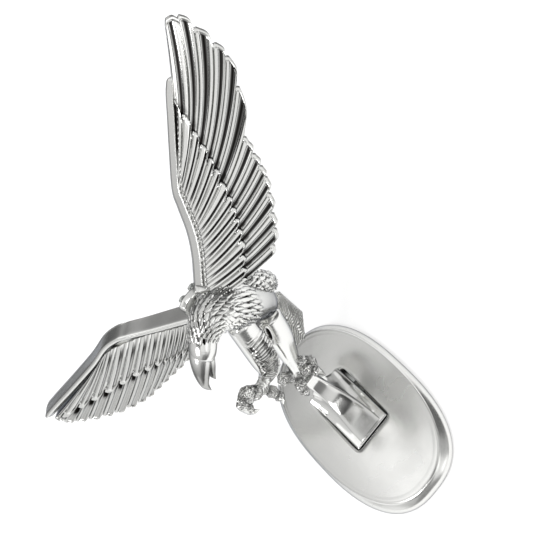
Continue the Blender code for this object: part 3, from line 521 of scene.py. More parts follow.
def build_leading_edge(name, wing):
    """Thick smooth front edge of a wing, with a row of beads inside it on the left wing: a cross-section
    given as heights across the band, carried along the wing's outline and narrowed to a round end."""
    outline = smooth_line(wing["outline"], BAND_ROWS)
    run = np.gradient(outline, axis=0)
    run /= np.linalg.norm(run, axis=1, keepdims=True)
    inward = np.stack([-run[:, 1], run[:, 0]], axis=1)
    inward *= np.sign(inward[:, 1:2])
    share = np.linspace(0, 1, BAND_ROWS)
    end = np.sqrt(np.clip(1 - np.clip((share - 0.965) / 0.035, 0, 1) ** 2, 0.02, 1))
    width = np.interp(share, *wing["band_width"])[:, None, None]
    x = np.linspace(0, 1, BAND_COLUMNS)
    section = np.interp(x, *wing["section"])
    section = np.convolve(np.pad(section, 2, mode="edge"), (0.1, 0.2, 0.4, 0.2, 0.1), mode="valid")
    travelled = np.concatenate([[0], np.cumsum(np.linalg.norm(np.diff(outline, axis=0), axis=1))])
    bead = 0.5 + 0.5 * np.sin(travelled * 2 * math.pi / BEAD_STEP)
    beads = wing["bead_height"] * bead[:, None] * bell(x, 0.8, 0.09) * eased(1 - share, 0.1, 0.2)[:, None]
    rise = section * np.interp(share, *wing["section_scale"])[:, None] * end[:, None] + beads
    middle = 0.5 + (x - 0.5)[None, :, None] * end[:, None, None]
    flat = outline[:, None] + inward[:, None] * middle * width
    # Painted shade in the groove along the band, fading towards the tip, and between the beads on the left
    # wing.
    fading = np.interp(share, (0, 0.75, 0.95), (1, 0.75, 0))[:, None]
    dark = bell(x, wing["groove_at"], 0.045)[None] * fading
    dark = dark + (1 - bead[:, None]) * bell(x, 0.8, 0.07) * 0.75 * (wing["bead_height"] > 0)
    depth = np.interp(share, (0, 1), wing["band_depth"])
    back = -(depth[:, None] * end[:, None] + 0 * x)
    points, faces = closed_plate(on_wing(wing, flat, rise), on_wing(wing, flat, back))
    cast_piece(name, points, faces, satin_chrome, "bird", recess=dark, sharp=40.0)


# The first feather is the outermost. angles are the directions of the first and last feathers, from span
# towards chord; starts is the arm where the columns begin; bulge is how far the first, second and last
# columns bow; the band's widths, scales and depths run from its root to its tip.
# dark_hollows, dark_steps and dark_roots set how much painted shade goes in the quill hollows, at the
# covert steps and at the coverts' roots.
left_wing = {
    "axes": wing_axes(1),
    "root": np.array((-22.0, 7.3, 72.8)),
    "tips": [
        (81.4, -14.5),
        (82.6, -10.6),
        (79.3, -5.1),
        (75.2, 0.8),
        (71.4, 4.5),
        (62.5, 8.0),
        (47.5, 11.1),
        (43.3, 13.7),
        (39.8, 15.9),
        (36.6, 17.3),
        (31.7, 18.6),
        (25.9, 19.8),
        (21.4, 20.6),
        (16.4, 20.2),
    ],
    "angles": (-29.0, 41.0),
    "starts": [
        (34.0, -9.6),
        (29.0, -8.0),
        (24.0, -5.2),
        (19.0, -3.3),
        (14.0, -2.0),
        (8.5, -0.8),
        (3.5, 0.4),
        (-1.5, 1.5),
    ],
    "bulge": (0.04, 0.14, 0.06),
    "tip_rim": 1.7,
    "covert_line": [
        (53.8, -8.9),
        (49.6, -6.1),
        (45.1, -3.0),
        (38.4, 1.4),
        (33.2, 4.0),
        (29.2, 6.2),
        (22.6, 8.5),
        (18.0, 9.9),
        (10.9, 10.6),
        (3.0, 11.5),
    ],
    "relief": 0.75,
    "dark_hollows": 1.0,
    "dark_steps": 0.8,
    "dark_roots": 0.0,
    "outline": [
        (-6.0, -0.6),
        (2.8, -2.7),
        (13.0, -4.0),
        (20.0, -5.8),
        (26.8, -8.7),
        (32.2, -10.7),
        (43.2, -12.0),
        (53.2, -13.0),
        (60.0, -13.7),
        (64.6, -13.6),
    ],
    "band_width": ((0, 0.3, 0.55, 0.8, 1.0), (4.0, 3.9, 3.4, 3.6, 3.0)),
    "section": (
        (0, 0.04, 0.40, 0.48, 0.54, 0.60, 0.66, 0.72, 0.80, 0.90, 1.0),
        (-1.8, -1.2, 0.75, 1.15, 1.05, 0.35, 0.30, 0.75, 0.95, 0.60, -0.8),
    ),
    "section_scale": ((0, 0.6, 1.0), (1.0, 0.85, 0.6)),
    "groove_at": 0.63,
    "bead_height": 0.22,
    "band_depth": (5.0, 2.8),
}
right_wing = {
    "axes": wing_axes(-1),
    "root": np.array((-22.0, 1.3, 72.7)),
    "tips": [
        (74.6, 1.2),
        (73.2, 4.2),
        (69.3, 6.6),
        (64.6, 8.8),
        (59.2, 10.8),
        (54.6, 12.1),
        (49.0, 13.2),
        (44.2, 13.7),
        (39.6, 13.9),
        (35.0, 13.3),
        (30.4, 12.8),
        (26.0, 12.2),
        (21.5, 11.8),
        (17.0, 11.0),
    ],
    "angles": (2.0, 38.0),
    "starts": [(42.0, -5.6), (33.0, -7.2), (20.0, -4.6), (10.5, -1.2), (4.5, 0.6), (-2.0, 2.0)],
    "bulge": (0.02, 0.03, 0.07),
    "tip_rim": 1.1,
    "covert_line": [
        (70.4, 0.8),
        (60.9, 1.7),
        (49.6, 2.9),
        (42.8, 3.5),
        (35.9, 3.7),
        (31.5, 4.4),
        (26.3, 4.9),
        (22.5, 5.5),
        (19.7, 6.6),
        (4.0, 8.0),
    ],
    "relief": 0.75,
    "dark_hollows": 0.28,
    "dark_steps": 1.8,
    "dark_roots": 2.2,
    "outline": [
        (-7.0, 1.4),
        (4.0, -2.2),
        (14.6, -5.9),
        (22.5, -9.1),
        (26.9, -10.5),
        (33.3, -10.5),
        (43.1, -8.2),
        (57.3, -6.0),
        (68.0, -4.6),
        (76.4, -3.4),
    ],
    "band_width": ((0, 0.3, 0.6, 1.0), (3.4, 3.4, 3.4, 3.2)),
    "section": (
        (0, 0.06, 0.22, 0.34, 0.50, 0.64, 0.74, 0.80, 1.0),
        (-5.0, -3.6, 0.35, 0.95, 1.15, 0.95, 0.30, 0.20, -0.6),
    ),
    "section_scale": ((0, 0.6, 1.0), (1.0, 1.0, 0.9)),
    "groove_at": 0.78,
    "bead_height": 0.0,
    "band_depth": (5.4, 3.2),
}
build_feathers("left_wing_feathers", left_wing, "left_wing")
build_feathers("right_wing_feathers", right_wing, "right_wing")
build_leading_edge("left_wing_leading_edge", left_wing)
build_leading_edge("right_wing_leading_edge", right_wing)

# ---------------------------------------------------------------------------------------------
# Yoke: a smooth flat chromed web behind the neck that joins the two leading edges. Both wings are
# screwed to it from behind.

YOKE_LINE = [
    (-22.8, 10.6, 73.6),
    (-24.8, 9.0, 72.6),
    (-26.4, 6.4, 72.0),
    (-26.8, 3.2, 71.6),
    (-25.6, 0.2, 71.6),
]
YOKE_HALF_WIDTH, YOKE_HALF_HEIGHT, YOKE_RINGS, YOKE_SIDES, YOKE_SQUARENESS = 1.3, 3.9, 60, 48, 6.0


def swept(path, up, half_across, half_up, sides, exponent=2.0, relief=None):
    """Closed solid round a path: rings of superellipses, across and up from the path, pushed out by the
    relief, which is a height for every ring and side. The ends close on the path itself."""
    path = np.asarray(path, float)
    run = np.gradient(path, axis=0)
    run /= np.linalg.norm(run, axis=1, keepdims=True)
    sideways = np.cross(np.broadcast_to(np.asarray(up, float), path.shape), run)
    sideways /= np.linalg.norm(sideways, axis=1, keepdims=True)
    upward = np.cross(run, sideways)
    turn = np.linspace(0, 2 * math.pi, sides, endpoint=False)
    cos, sin = (np.sign(wave) * np.abs(wave) ** (2.0 / exponent) for wave in (np.cos(turn), np.sin(turn)))
    extra = np.zeros((len(path), sides)) if relief is None else relief
    a = (np.broadcast_to(half_across, len(path))[:, None] + extra) * cos
    b = (np.broadcast_to(half_up, len(path))[:, None] + extra) * sin
    rings = path[:, None] + a[..., None] * sideways[:, None] + b[..., None] * upward[:, None]
    points = np.vstack([rings.reshape(-1, 3), path[:1], path[-1:]]) * MM
    faces = grid_quads(len(path), sides, closed_columns=True).tolist()
    first, last, end = len(path) * sides, len(path) * sides + 1, (len(path) - 1) * sides
    for i in range(sides):
        after = (i + 1) % sides
        faces += [(first, after, i), (last, end + i, end + after)]
    return points, faces


def rounded_ends(count, share):
    """Sizes that shrink like a circle's over the first and last share of a path."""
    place = np.linspace(0, 1, count)
    from_end = np.clip(np.minimum(place, 1 - place) / share, 0, 1)
    return np.sqrt(1 - (1 - from_end) ** 2) * 0.98 + 0.02


ease = rounded_ends(YOKE_RINGS, 0.08)
half_width, half_height = YOKE_HALF_WIDTH * ease, YOKE_HALF_HEIGHT * ease
path = smooth_line(YOKE_LINE, YOKE_RINGS)
points, faces = swept(path, (0.3, 0.0, 1.0), half_width, half_height, YOKE_SIDES, YOKE_SQUARENESS)
cast_piece("wing_yoke_web", points, faces, satin_chrome, "bird", ["wing_yoke"])

# ---------------------------------------------------------------------------------------------
# Body: torso, neck and bent head in one chromed casting, which sits on the legs and carries the yoke.
# Long pointed feathers cover the breast, shorter ones the neck, and the flank and the crown are smooth.
# The hooked bill is open.

SPINE = [
    (-26.5, 11.0, 42.0),
    (-24.0, 13.0, 50.0),
    (-20.5, 11.5, 60.0),
    (-17.5, 8.6, 69.0),
    (-15.0, 5.0, 74.6),
    (-11.5, 0.5, 76.0),
    (-8.6, -3.2, 75.2),
    (-7.0, -5.6, 74.6),
]
BODY_HALF_WIDTHS = (4.6, 6.0, 6.6, 6.4, 5.6, 4.4, 3.9, 2.6)
BODY_HALF_DEPTHS = (3.8, 5.4, 6.0, 6.0, 5.2, 4.1, 3.7, 2.4)
RUMP_LINE = [(-22.5, 14.0, 63.0), (-23.8, 17.6, 58.0), (-24.8, 19.6, 52.5), (-25.6, 19.2, 47.0)]
RUMP_SIZES = (2.0, 3.2, 3.4, 2.4)


def spread(sizes, count):
    """Smoothly eased sizes read off a few evenly spaced ones."""
    return smooth_line(np.column_stack([sizes, sizes]), count)[:, 0]


def feathering(along, across):
    """Height, 0 to 1, of overlapping feathers on a running bond of cells: each rises from its root to a
    pointed tip two rows on, and the higher of the two layers shows."""
    height = np.zeros(np.broadcast_shapes(along.shape, across.shape))
    for layer in (0, 1):
        grown = (along - layer) % 2.0
        off_quill = ((across + 0.5 * layer) % 1.0) * 2 - 1
        inside = eased(2.0 - 1.1 * np.abs(off_quill) ** 1.5 - grown, 0.0, 0.16)
        height = np.maximum(height, inside * (0.10 + 0.45 * grown) * (1 - 0.6 * off_quill**2))
    return height


def wander(share, turn, scale):
    """Smooth uneven waves, between -1 and 1, from sines whose periods don't divide each other."""
    first = np.sin(scale * (share * 31.0 + 1.7 * np.sin(turn * 3 + share * 9.0)))
    second = np.sin(scale * (turn * 2.6 + 1.3 * np.sin(share * 47.0)) + 1.0)
    return 0.5 * (first + second)


def feathered(rings, sides, zones, amplitude, slash):
    """Relief and recess grids from zones of (start, end, rows, columns, slant) along the path. The start of
    a zone moves with the slant round the body, and slash says how many gaps between feathers go deep and
    dark; the recess is painted shade in the gaps, darkest in the deep ones. Zones that meet are blended by
    their weights."""
    share = np.linspace(0, 1, rings)[:, None]
    turn = np.linspace(0, 2 * math.pi, sides, endpoint=False)[None]
    height, total = np.zeros((rings, sides)), np.zeros((rings, sides))
    for start, end, rows, columns, slant in zones:
        place = share + slant * np.cos(turn)
        weight = eased(place, start - 0.02, start + 0.02) * (1 - eased(share, end - 0.02, end + 0.02))
        loose = 0.30 * wander(share, turn, 1.0)
        height += weight * feathering(-share * rows + loose, turn * columns / (2 * math.pi) + 0.5 * loose)
        total += weight
    height /= np.maximum(total, 1e-3)
    fade = np.minimum(total, 1)
    deep = eased(wander(share, turn, 1.7) + slash, -0.1, 0.5)
    gap = 1 - eased(height, 0.20, 0.46)
    return fade * amplitude * (height - 0.4 - 0.4 * gap * deep), fade * gap * (0.25 + 0.75 * deep)


BREAST_ZONE, NECK_ZONE = (0.27, 0.46, 13, 24, 0.05), (0.46, 0.76, 30, 18, 0.03)
RUMP_ZONE = (-0.1, 1.1, 9, 11, 0.0)
RINGS, SIDES, RUMP_RINGS = 300, 200, 90
FACE_UP = (0.6, 0.1, 0.8)
relief, recess = feathered(RINGS, SIDES, [BREAST_ZONE, NECK_ZONE], 1.0, 0.35)
points, faces = swept(
    smooth_line(SPINE, RINGS),
    FACE_UP,
    spread(BODY_HALF_WIDTHS, RINGS) * rounded_ends(RINGS, 0.06),
    spread(BODY_HALF_DEPTHS, RINGS) * rounded_ends(RINGS, 0.06),
    SIDES,
    relief=relief,
)
cast_piece("body_feathers", points, faces, relief_chrome, "bird", ["body"], recess=recess)

relief, recess = feathered(RUMP_RINGS, RUMP_RINGS, [RUMP_ZONE], 0.8, 0.1)
size = spread(RUMP_SIZES, RUMP_RINGS) * rounded_ends(RUMP_RINGS, 0.15)
points, faces = swept(smooth_line(RUMP_LINE, RUMP_RINGS), (1, 0, 0), size, size, RUMP_RINGS, relief=relief)
cast_piece("rump_feathers", points, faces, relief_chrome, "bird", recess=recess)

BILL = {
    "bill_upper": {
        "line": [
            (-9.4, -3.0, 75.6),
            (-7.6, -5.6, 74.6),
            (-5.8, -8.2, 73.0),
            (-4.3, -10.2, 70.9),
            (-3.3, -10.8, 68.2),
        ],
        "sizes": (4.2, 3.6, 2.7, 1.5, 0.12),
        "dark": 0.55,
    },
    "bill_lower": {
        "line": [(-8.8, -3.0, 74.0), (-6.6, -5.0, 72.2), (-4.8, -6.6, 70.6), (-3.6, -7.2, 69.4)],
        "sizes": (3.0, 2.3, 1.2, 0.12),
        "dark": 0.75,
    },
}
BILL_RINGS, BILL_SIDES = 70, 40
# The bill's recess is painted shade, rising from its root to full from midway on, in place of the darker
# reflections in the bill.
bill_painted_shade_chrome = chrome_finish("bill_painted_shade_chrome", 1.2 * MM, 0.02 * MM, 0.85, (0.12, 0.22))
for name, half in BILL.items():
    size = spread(half["sizes"], BILL_RINGS)
    path = smooth_line(half["line"], BILL_RINGS)
    points, faces = swept(path, FACE_UP, 0.85 * size, 0.8 * size, BILL_SIDES)
    recess = np.repeat(half["dark"] * eased(np.linspace(0, 1, BILL_RINGS), 0.15, 0.5), BILL_SIDES)
    cast_piece(name, points, faces, bill_painted_shade_chrome, "bird", recess=recess)


def ball(centre, radii, axis, count=32):
    """Ellipsoid: circles whose radii follow the sine of the latitude, along the given axis."""
    latitude = np.linspace(0, math.pi, count)
    path = np.asarray(centre, float) - np.cos(latitude)[:, None] * radii[2] * np.asarray(axis)
    size = np.sin(latitude) * 0.98 + 0.02
    return swept(path, FACE_UP, radii[0] * size, radii[1] * size, count)


# The eye is painted shade all over, a dark pit in the head; the brow over it is plain chrome.
points, faces = ball((-7.9, 0.4, 78.5), (0.40, 0.60, 1.1), (0.30, -0.75, -0.60))
cast_piece("eye", points, faces, relief_chrome, "bird", recess=np.ones(len(points)))
points, faces = ball((-8.4, -0.2, 79.0), (0.6, 0.6, 1.7), (0.35, -0.85, -0.35))
cast_piece("brow", points, faces, smooth_chrome, "bird")

# ---------------------------------------------------------------------------------------------
# Tail: a thin angular chromed plate, joined to the body's underside and broadest at its blunt end,
# cast with rows of fine barbs that slant away from each quill.

TAIL_UPPER_SIDE = [(-28.8, 14.0, 43.0), (-28.4, 17.8, 38.0), (-27.0, 15.5, 24.2)]
TAIL_LOWER_SIDE = [(-28.2, 7.4, 38.2), (-25.2, 3.8, 27.0), (-23.4, 2.4, 21.6)]
TAIL_END = [(-27.0, 15.5, 24.2), (-25.0, 8.4, 16.8), (-23.4, 2.4, 21.6)]
TAIL_FRONT = np.array([0.93, 0.05, 0.36])
TAIL_ROWS, TAIL_COLUMNS, TAIL_LENGTH, TAIL_WIDTH = 220, 160, 23.0, 14.0
TAIL_QUILLS, BARB_STEP, BARB_HEIGHT, BARB_SLANT = 2, 0.90, 0.12, 5.0


def bent_line(points, count):
    """Straight runs between the points, evenly spread by the number of runs."""
    points = np.asarray(points, float)
    place = np.linspace(0, len(points) - 1, count)
    return np.column_stack([np.interp(place, np.arange(len(points)), points[:, k]) for k in range(3)])


upper, lower = bent_line(TAIL_UPPER_SIDE, TAIL_ROWS), bent_line(TAIL_LOWER_SIDE, TAIL_ROWS)
share, along = np.linspace(0, 1, TAIL_COLUMNS)[None], np.linspace(0, 1, TAIL_ROWS)[:, None]
middle = upper[:, None] + (lower - upper)[:, None] * share[..., None]
middle = middle + (bent_line(TAIL_END, TAIL_COLUMNS) - middle[-1]) * along[..., None] ** 2
between = np.abs((share * TAIL_QUILLS) % 1.0 - 0.5)
barb_place = (along * TAIL_LENGTH + between * BARB_SLANT) / BARB_STEP + 0.4 * wander(along, share * 6, 0.8)
barbs = np.sin(2 * math.pi * barb_place)
edge = np.minimum(np.minimum(share, 1 - share) * TAIL_WIDTH, (1 - along) * TAIL_LENGTH)
rounding = np.sqrt(np.clip(1 - (1 - np.clip(edge / 0.8, 0, 1)) ** 2, 0, 1))
rise = 0.15 * (0.5 - between) + BARB_HEIGHT * barbs - 0.7 * (1 - rounding)
thickness = 2.4 - 1.2 * along - 0.5 * (1 - rounding)
front_side, back_side = (middle + TAIL_FRONT * height[..., None] for height in (rise, -thickness))
points, faces = closed_plate(front_side * MM, back_side * MM)
# Painted shade in the troughs between the barbs.
dark = 0.62 * eased(-barbs, 0.1, 1.0)
cast_piece("tail_feathers", points, faces, relief_chrome, "bird", ["tail"], recess=dark)

# ---------------------------------------------------------------------------------------------
# Legs: two chromed castings with ribbed feather trousers, short shanks, and thick knuckled toes with
# claws. The left foot grips the pedestal's top, where a rivet holds it, and the right one hangs open.

LEGS = {
    "right_leg": {
        "shank": [
            (-20.6, 6.4, 57.5),
            (-15.5, 1.6, 45.8),
            (-12.8, -1.2, 40.5),
            (-12.4, -5.4, 38.2),
            (-11.2, -9.6, 38.6),
        ],
        "sizes": (4.3, 4.3, 3.7, 1.9, 2.0),
        "toes": [
            [
                (-11.2, -9.6, 38.6),
                (-9.6, -8.8, 43.6),
                (-7.8, -10.2, 48.2),
                (-6.2, -13.0, 48.2),
                (-5.2, -14.0, 44.6),
                (-4.8, -12.6, 42.2),
            ],
            [
                (-11.0, -9.8, 39.0),
                (-8.8, -10.8, 44.2),
                (-6.6, -13.0, 45.4),
                (-5.4, -13.6, 42.6),
                (-5.2, -12.0, 40.6),
            ],
            [(-11.8, -8.0, 38.2), (-10.2, -7.2, 34.8), (-8.6, -7.4, 31.0), (-7.8, -8.8, 28.8)],
        ],
        "ribs": (0.10, 0.62),
        "rib_turn": 0.75,
        "pit": 0.0,
    },
    "left_leg": {
        "shank": [
            (-24.0, 10.6, 43.5),
            (-20.2, 7.2, 35.6),
            (-17.6, 4.2, 30.4),
            (-15.6, 2.0, 26.6),
            (-14.3, 0.6, 22.6),
        ],
        "sizes": (4.8, 4.2, 3.2, 2.4, 2.6),
        "toes": [
            [(-14.3, 0.6, 22.8), (-11.8, 3.2, 24.6), (-9.4, 5.0, 22.6), (-8.4, 5.2, 19.2)],
            [(-14.2, 0.0, 22.6), (-11.0, -1.8, 23.4), (-9.6, -3.0, 20.6), (-9.9, -3.6, 17.4)],
            [(-14.8, 1.0, 23.0), (-14.2, 4.2, 25.8), (-13.2, 6.2, 23.4), (-12.8, 5.6, 19.8)],
            [(-14.8, -0.6, 22.8), (-15.8, -3.4, 26.2), (-16.8, -5.2, 23.4), (-16.6, -4.2, 19.4)],
        ],
        "ribs": (0.80, 0.82),
        "rib_turn": 2.2,
        "pit": 1.0,
    },
}
SHANK_RINGS, SHANK_SIDES, TOE_RINGS, TOE_SIDES = 220, 96, 110, 48
RIB_STEP, RIB_DEPTH, RIB_STANDS, SEAM_DEPTH, PIT_DEPTH = 0.023, 0.45, 0.35, 0.5, 1.2
PIT_SHARE, PIT_TURN = 0.13, 2.15
KNUCKLES, KNUCKLE_RISE, SCUTE_RISE = 3.5, 0.28, 0.35
TOE_PLACES, TOE_SIZES = (0, 0.5, 0.68, 0.72, 1.0), (1.9, 1.75, 1.4, 1.15, 0.10)


def cast_thigh(name, leg):
    """Thigh and shank: a swept limb with a patch of wavy cosine ribs down one side, a seam along the
    patch's edge, a pit above it, and scales like small feathers below."""
    share = np.linspace(0, 1, SHANK_RINGS)[:, None]
    turn = np.linspace(0, 2 * math.pi, SHANK_SIDES, endpoint=False)[None]
    start, stop = leg["ribs"]
    facing = np.cos(turn - leg["rib_turn"])
    stretch = eased(share, start, start + 0.06) * (1 - eased(share, stop - 0.06, stop))
    zone = stretch * eased(facing, 0.40, 0.55)
    wave = 0.5 - 0.5 * np.cos(2 * math.pi * (share / RIB_STEP + 0.5 * wander(share, turn, 0.6)))
    seam = stretch * bell(facing, 0.44, 0.12) * (np.sin(turn - leg["rib_turn"]) > 0)
    seam = seam * eased(wander(share, turn, 2.2), -0.3, 0.3)
    below = max(stop, 0.6)
    scales = 0.30 * feathering(share * 26, turn / (2 * math.pi) * 7) * eased(share, below, below + 0.1)
    pit = bell(share, PIT_SHARE, 0.08) * bell(turn, PIT_TURN + 2.0 * (share - PIT_SHARE), 0.22) * leg["pit"]
    relief = zone * (RIB_STANDS - RIB_DEPTH * wave) - SEAM_DEPTH * seam + scales - PIT_DEPTH * pit
    size = spread(leg["sizes"], SHANK_RINGS) * rounded_ends(SHANK_RINGS, 0.05)
    path = smooth_line(leg["shank"], SHANK_RINGS)
    points, faces = swept(path, FACE_UP, size, size, SHANK_SIDES, relief=relief)
    # Painted shade in the rib troughs, along the seam and in the pit.
    dark = 0.75 * zone * eased(wave, 0.40, 0.95) + seam + eased(pit, 0.35, 0.6)
    cast_piece(f"{name}_thigh", points, faces, relief_chrome, "bird", [name], recess=dark)


def cast_toe(name, number, line):
    """Toe and claw: a swept limb that tapers to a point, with sine-wave knuckles, scutes laid like feathers
    and cast pits on its fleshy part."""
    share = np.linspace(0, 1, TOE_RINGS)[:, None]
    turn = np.linspace(0, 2 * math.pi, TOE_SIDES, endpoint=False)[None]
    fleshy = 1 - eased(share, 0.60, 0.72)
    beat = np.sin(2 * math.pi * share * KNUCKLES)
    pits = eased(wander(share * 2, turn, 3.0 + number), 0.15, 0.6) * fleshy
    scute = feathering(share * 16, turn / 1.2)
    relief = fleshy * (KNUCKLE_RISE * beat + SCUTE_RISE * scute - 0.15) - 0.25 * pits
    taper = np.interp(share[:, 0], TOE_PLACES, TOE_SIZES)
    path = smooth_line(line, TOE_RINGS)
    points, faces = swept(path, (0.3, 0.2, 1.0), taper, taper, TOE_SIDES, relief=relief)
    # Painted shade in the dips between knuckles, in the gaps between scutes and in the cast pits.
    dark = fleshy * 0.45 * (eased(-beat, 0.4, 1.0) + 1 - eased(scute, 0.15, 0.4)) + 0.9 * pits
    cast_piece(f"{name}_toe_{number}", points, faces, relief_chrome, "bird", recess=dark)


for name, leg in LEGS.items():
    cast_thigh(name, leg)
    for number, line in enumerate(leg["toes"], 1):
        cast_toe(name, number, line)

# ---------------------------------------------------------------------------------------------
# Pedestal: one polished and chromed casting with a foot plate that fills the slot, and a stem that
# sweeps up from it to the perch. The stem's flanks run out into the foot plate in hollow fillets.

FOOT_FRONT, FOOT_BACK, FOOT_HALF_WIDTH, FOOT_THICKNESS = 10.0, -13.2, 7.2, 1.3
FOOT_LINE_X, FOOT_LINE_Z = (-13.2, -10.0, -6.5, -2.0, 4.0, 10.0), (10.4, 8.7, 7.5, 6.7, 6.3, 6.1)
FOOT_ROWS, FOOT_COLUMNS = 160, 120
FILLET_POWER, FILLET_OVERLAP, FILLET_TOP = 2.6, 0.4, 4.5
FOOT_EDGE, FOOT_EDGE_FALL = 0.4, 0.25
STEM_LINE = [
    (9.7, 0, 5.6),
    (3.6, 0, 6.6),
    (-2.2, 0, 7.4),
    (-7.2, 0, 9.2),
    (-10.6, 0, 11.9),
    (-12.7, 0, 15.0),
    (-14.3, 0, 18.4),
]
STEM_HALF_WIDTHS = (4.9, 4.6, 4.0, 3.3, 2.7, 2.4, 2.4)
STEM_HALF_DEPTHS = (0.7, 1.0, 1.4, 1.8, 1.9, 1.9, 2.0)
STEM_RINGS, STEM_SIDES, STEM_SQUARENESS = 200, 128, 5.0

stem_path = smooth_line(STEM_LINE, STEM_RINGS)
stem_half_width = spread(STEM_HALF_WIDTHS, STEM_RINGS)
stem_half_depth = spread(STEM_HALF_DEPTHS, STEM_RINGS)


def foot_grids():
    """Top and underside of the foot plate over a grid of x and y. The top is the plate's own height plus
    the stem's height above it, which falls with a power of the way out to the plate's edge."""
    x = np.linspace(FOOT_FRONT, FOOT_BACK, FOOT_ROWS)[:, None]
    y = np.linspace(-FOOT_HALF_WIDTH, FOOT_HALF_WIDTH, FOOT_COLUMNS)[None]
    stem_x, stem_z = stem_path[::-1, 0], stem_path[::-1, 2]
    inner = np.interp(x, stem_x, stem_half_width[::-1]) - FILLET_OVERLAP
    ground = np.interp(x, FOOT_LINE_X, FOOT_LINE_Z)
    stem_height = np.clip(np.interp(x, stem_x, stem_z) - ground, 0, FILLET_TOP)
    out = np.clip((np.abs(y) - inner) / (FOOT_HALF_WIDTH - inner), 0, 1)
    edge = np.minimum(np.minimum(FOOT_HALF_WIDTH - np.abs(y), x - FOOT_BACK), FOOT_FRONT - x)
    fall = FOOT_EDGE_FALL * (1 - np.clip(edge / FOOT_EDGE, 0, 1)) ** 2
    top = ground + stem_height * (1 - out) ** FILLET_POWER - fall
    return [np.stack(np.broadcast_arrays(x, y, z), axis=-1) * MM for z in (top, ground - FOOT_THICKNESS)]


points, faces = closed_plate(*foot_grids())
cast_piece("pedestal_foot", points, faces, smooth_chrome, "bird", ["pedestal"])
ease = rounded_ends(STEM_RINGS, 0.015)
points, faces = swept(
    stem_path, (0, 0, 1), stem_half_width * ease, stem_half_depth * ease, STEM_SIDES, STEM_SQUARENESS
)
cast_piece("pedestal_stem", points, faces, smooth_chrome, "bird")

# ---------------------------------------------------------------------------------------------
# Hinge: a chromed knuckle cast under the foot plate, between two lugs cast under the shell. All three
# are bored for the pivot pin, on which the pedestal and the bird tilt back.

PIN_X, PIN_Y, PIN_Z = np.array(frame["joints"][0]["pos_m"]) / MM
BORE_RADIUS, EYE_SIDES = 0.9, 96
KNUCKLE = {"radius": 1.5, "top": 2.8, "faces": (-3.0, 3.0)}
LUG_RADIUS, LUG_TOP, LUG_INNER, LUG_OUTER = 1.6, 1.5, 8.6, 10.3
LEFT_LUG = {"radius": LUG_RADIUS, "top": LUG_TOP, "faces": (LUG_INNER, LUG_OUTER)}
RIGHT_LUG = {"radius": LUG_RADIUS, "top": LUG_TOP, "faces": (-LUG_OUTER, -LUG_INNER)}


def bored_eye(name, body, eye):
    """Round-bottomed, flat-topped eye about the pin: its outline is a circle below the pin's axis and a box
    above it, and the four rings of points are the outline and the bore at each of its two faces."""
    turn = np.linspace(0, 2 * math.pi, EYE_SIDES, endpoint=False)
    cos, sin = np.cos(turn), np.sin(turn)
    boxed = np.minimum(eye["radius"] / np.maximum(np.abs(cos), 1e-6), eye["top"] / np.maximum(sin, 1e-6))
    outline = np.where(sin > 0, boxed, eye["radius"])
    low_y, high_y = eye["faces"]
    rings = []
    for reach, y in ((outline, low_y), (BORE_RADIUS, low_y), (BORE_RADIUS, high_y), (outline, high_y)):
        rings.append(np.stack([PIN_X + reach * cos, PIN_Y + y + 0 * cos, PIN_Z + reach * sin], axis=1))
    faces = grid_quads(len(rings), EYE_SIDES, closed_rows=True, closed_columns=True)
    cast_piece(name, np.array(rings) * MM, faces, smooth_chrome, body, sharp=30.0)


bored_eye("pedestal_knuckle", "bird", KNUCKLE)
bored_eye("base_shell_lug_left", "base", LEFT_LUG)
bored_eye("base_shell_lug_right", "base", RIGHT_LUG)

# ---------------------------------------------------------------------------------------------
# Fastenings: zinc-plated steel plate, screws, pin, clips, springs and rivet, a rubber stop bumper and
# a foam pad with adhesive on both sides. Most sit under the shell, and the yoke's screws behind the wings.

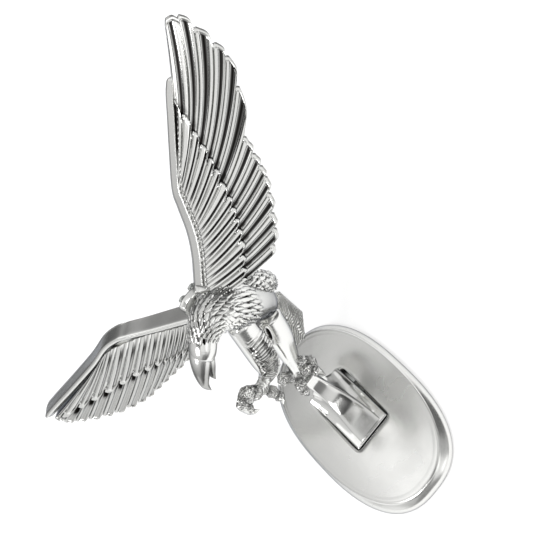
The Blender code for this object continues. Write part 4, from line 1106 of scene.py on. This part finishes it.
HIDDEN_FINISHES = {
    "zinc_plated_steel": {
        "nodes": [
            "base_plate",
            "plate_screw_front_left",
            "plate_screw_front_right",
            "plate_screw_rear_left",
            "plate_screw_rear_right",
            "pivot_pin",
            "pin_clip_left",
            "pin_clip_right",
            "return_spring_left",
            "return_spring_right",
            "foot_rivet",
            "yoke_screw_left",
            "yoke_screw_right",
        ],
        "colours": ((0.60, 0.62, 0.62), (0.44, 0.45, 0.42)),
        "metallic": 1.0,
        "roughness": (0.28, 0.45),
        "grain": (1.5 * MM, 0.015 * MM),
    },
    "black_rubber": {
        "nodes": ["stop_bumper"],
        "colours": ((0.030, 0.030, 0.032), (0.055, 0.054, 0.052)),
        "metallic": 0.0,
        "roughness": (0.60, 0.80),
        "grain": (0.4 * MM, 0.03 * MM),
    },
    "white_foam": {
        "nodes": ["adhesive_pad"],
        "colours": ((0.86, 0.86, 0.83), (0.72, 0.71, 0.67)),
        "metallic": 0.0,
        "roughness": (0.85, 1.00),
        "grain": (0.3 * MM, 0.06 * MM),
    },
}
PATCH_SCALE = 220.0


def mottled_finish(name, look):
    """Two colours mixed by a soft noise, with roughness that follows it, over a fine bumpy grain."""
    material = bpy.data.materials.new(name)
    material.use_nodes = True
    tree = material.node_tree
    shader = tree.nodes["Principled BSDF"]
    shader.inputs["Metallic"].default_value = look["metallic"]
    place = tree.nodes.new("ShaderNodeTexCoord").outputs["Object"]
    patches = noise(tree, place, PATCH_SCALE, 5.0)
    colour = tree.nodes.new("ShaderNodeMix")
    colour.data_type = "RGBA"
    for socket, mixed in zip((6, 7), look["colours"]):
        colour.inputs[socket].default_value = (*mixed, 1)
    tree.links.new(patches, colour.inputs[0])
    tree.links.new(colour.outputs[2], shader.inputs["Base Color"])
    shine = tree.nodes.new("ShaderNodeMapRange")
    shine.inputs["To Min"].default_value, shine.inputs["To Max"].default_value = look["roughness"]
    tree.links.new(patches, shine.inputs["Value"])
    tree.links.new(shine.outputs["Result"], shader.inputs["Roughness"])
    grain_size, grain_depth = look["grain"]
    grain_bump(tree, shader, noise(tree, place, 1.0 / grain_size, 4.0), grain_depth)
    return material


for name, look in HIDDEN_FINISHES.items():
    finish = mottled_finish(name, look)
    for node in look["nodes"]:
        materials = frame["nodes"][node].data.materials
        materials.clear()
        materials.append(finish)
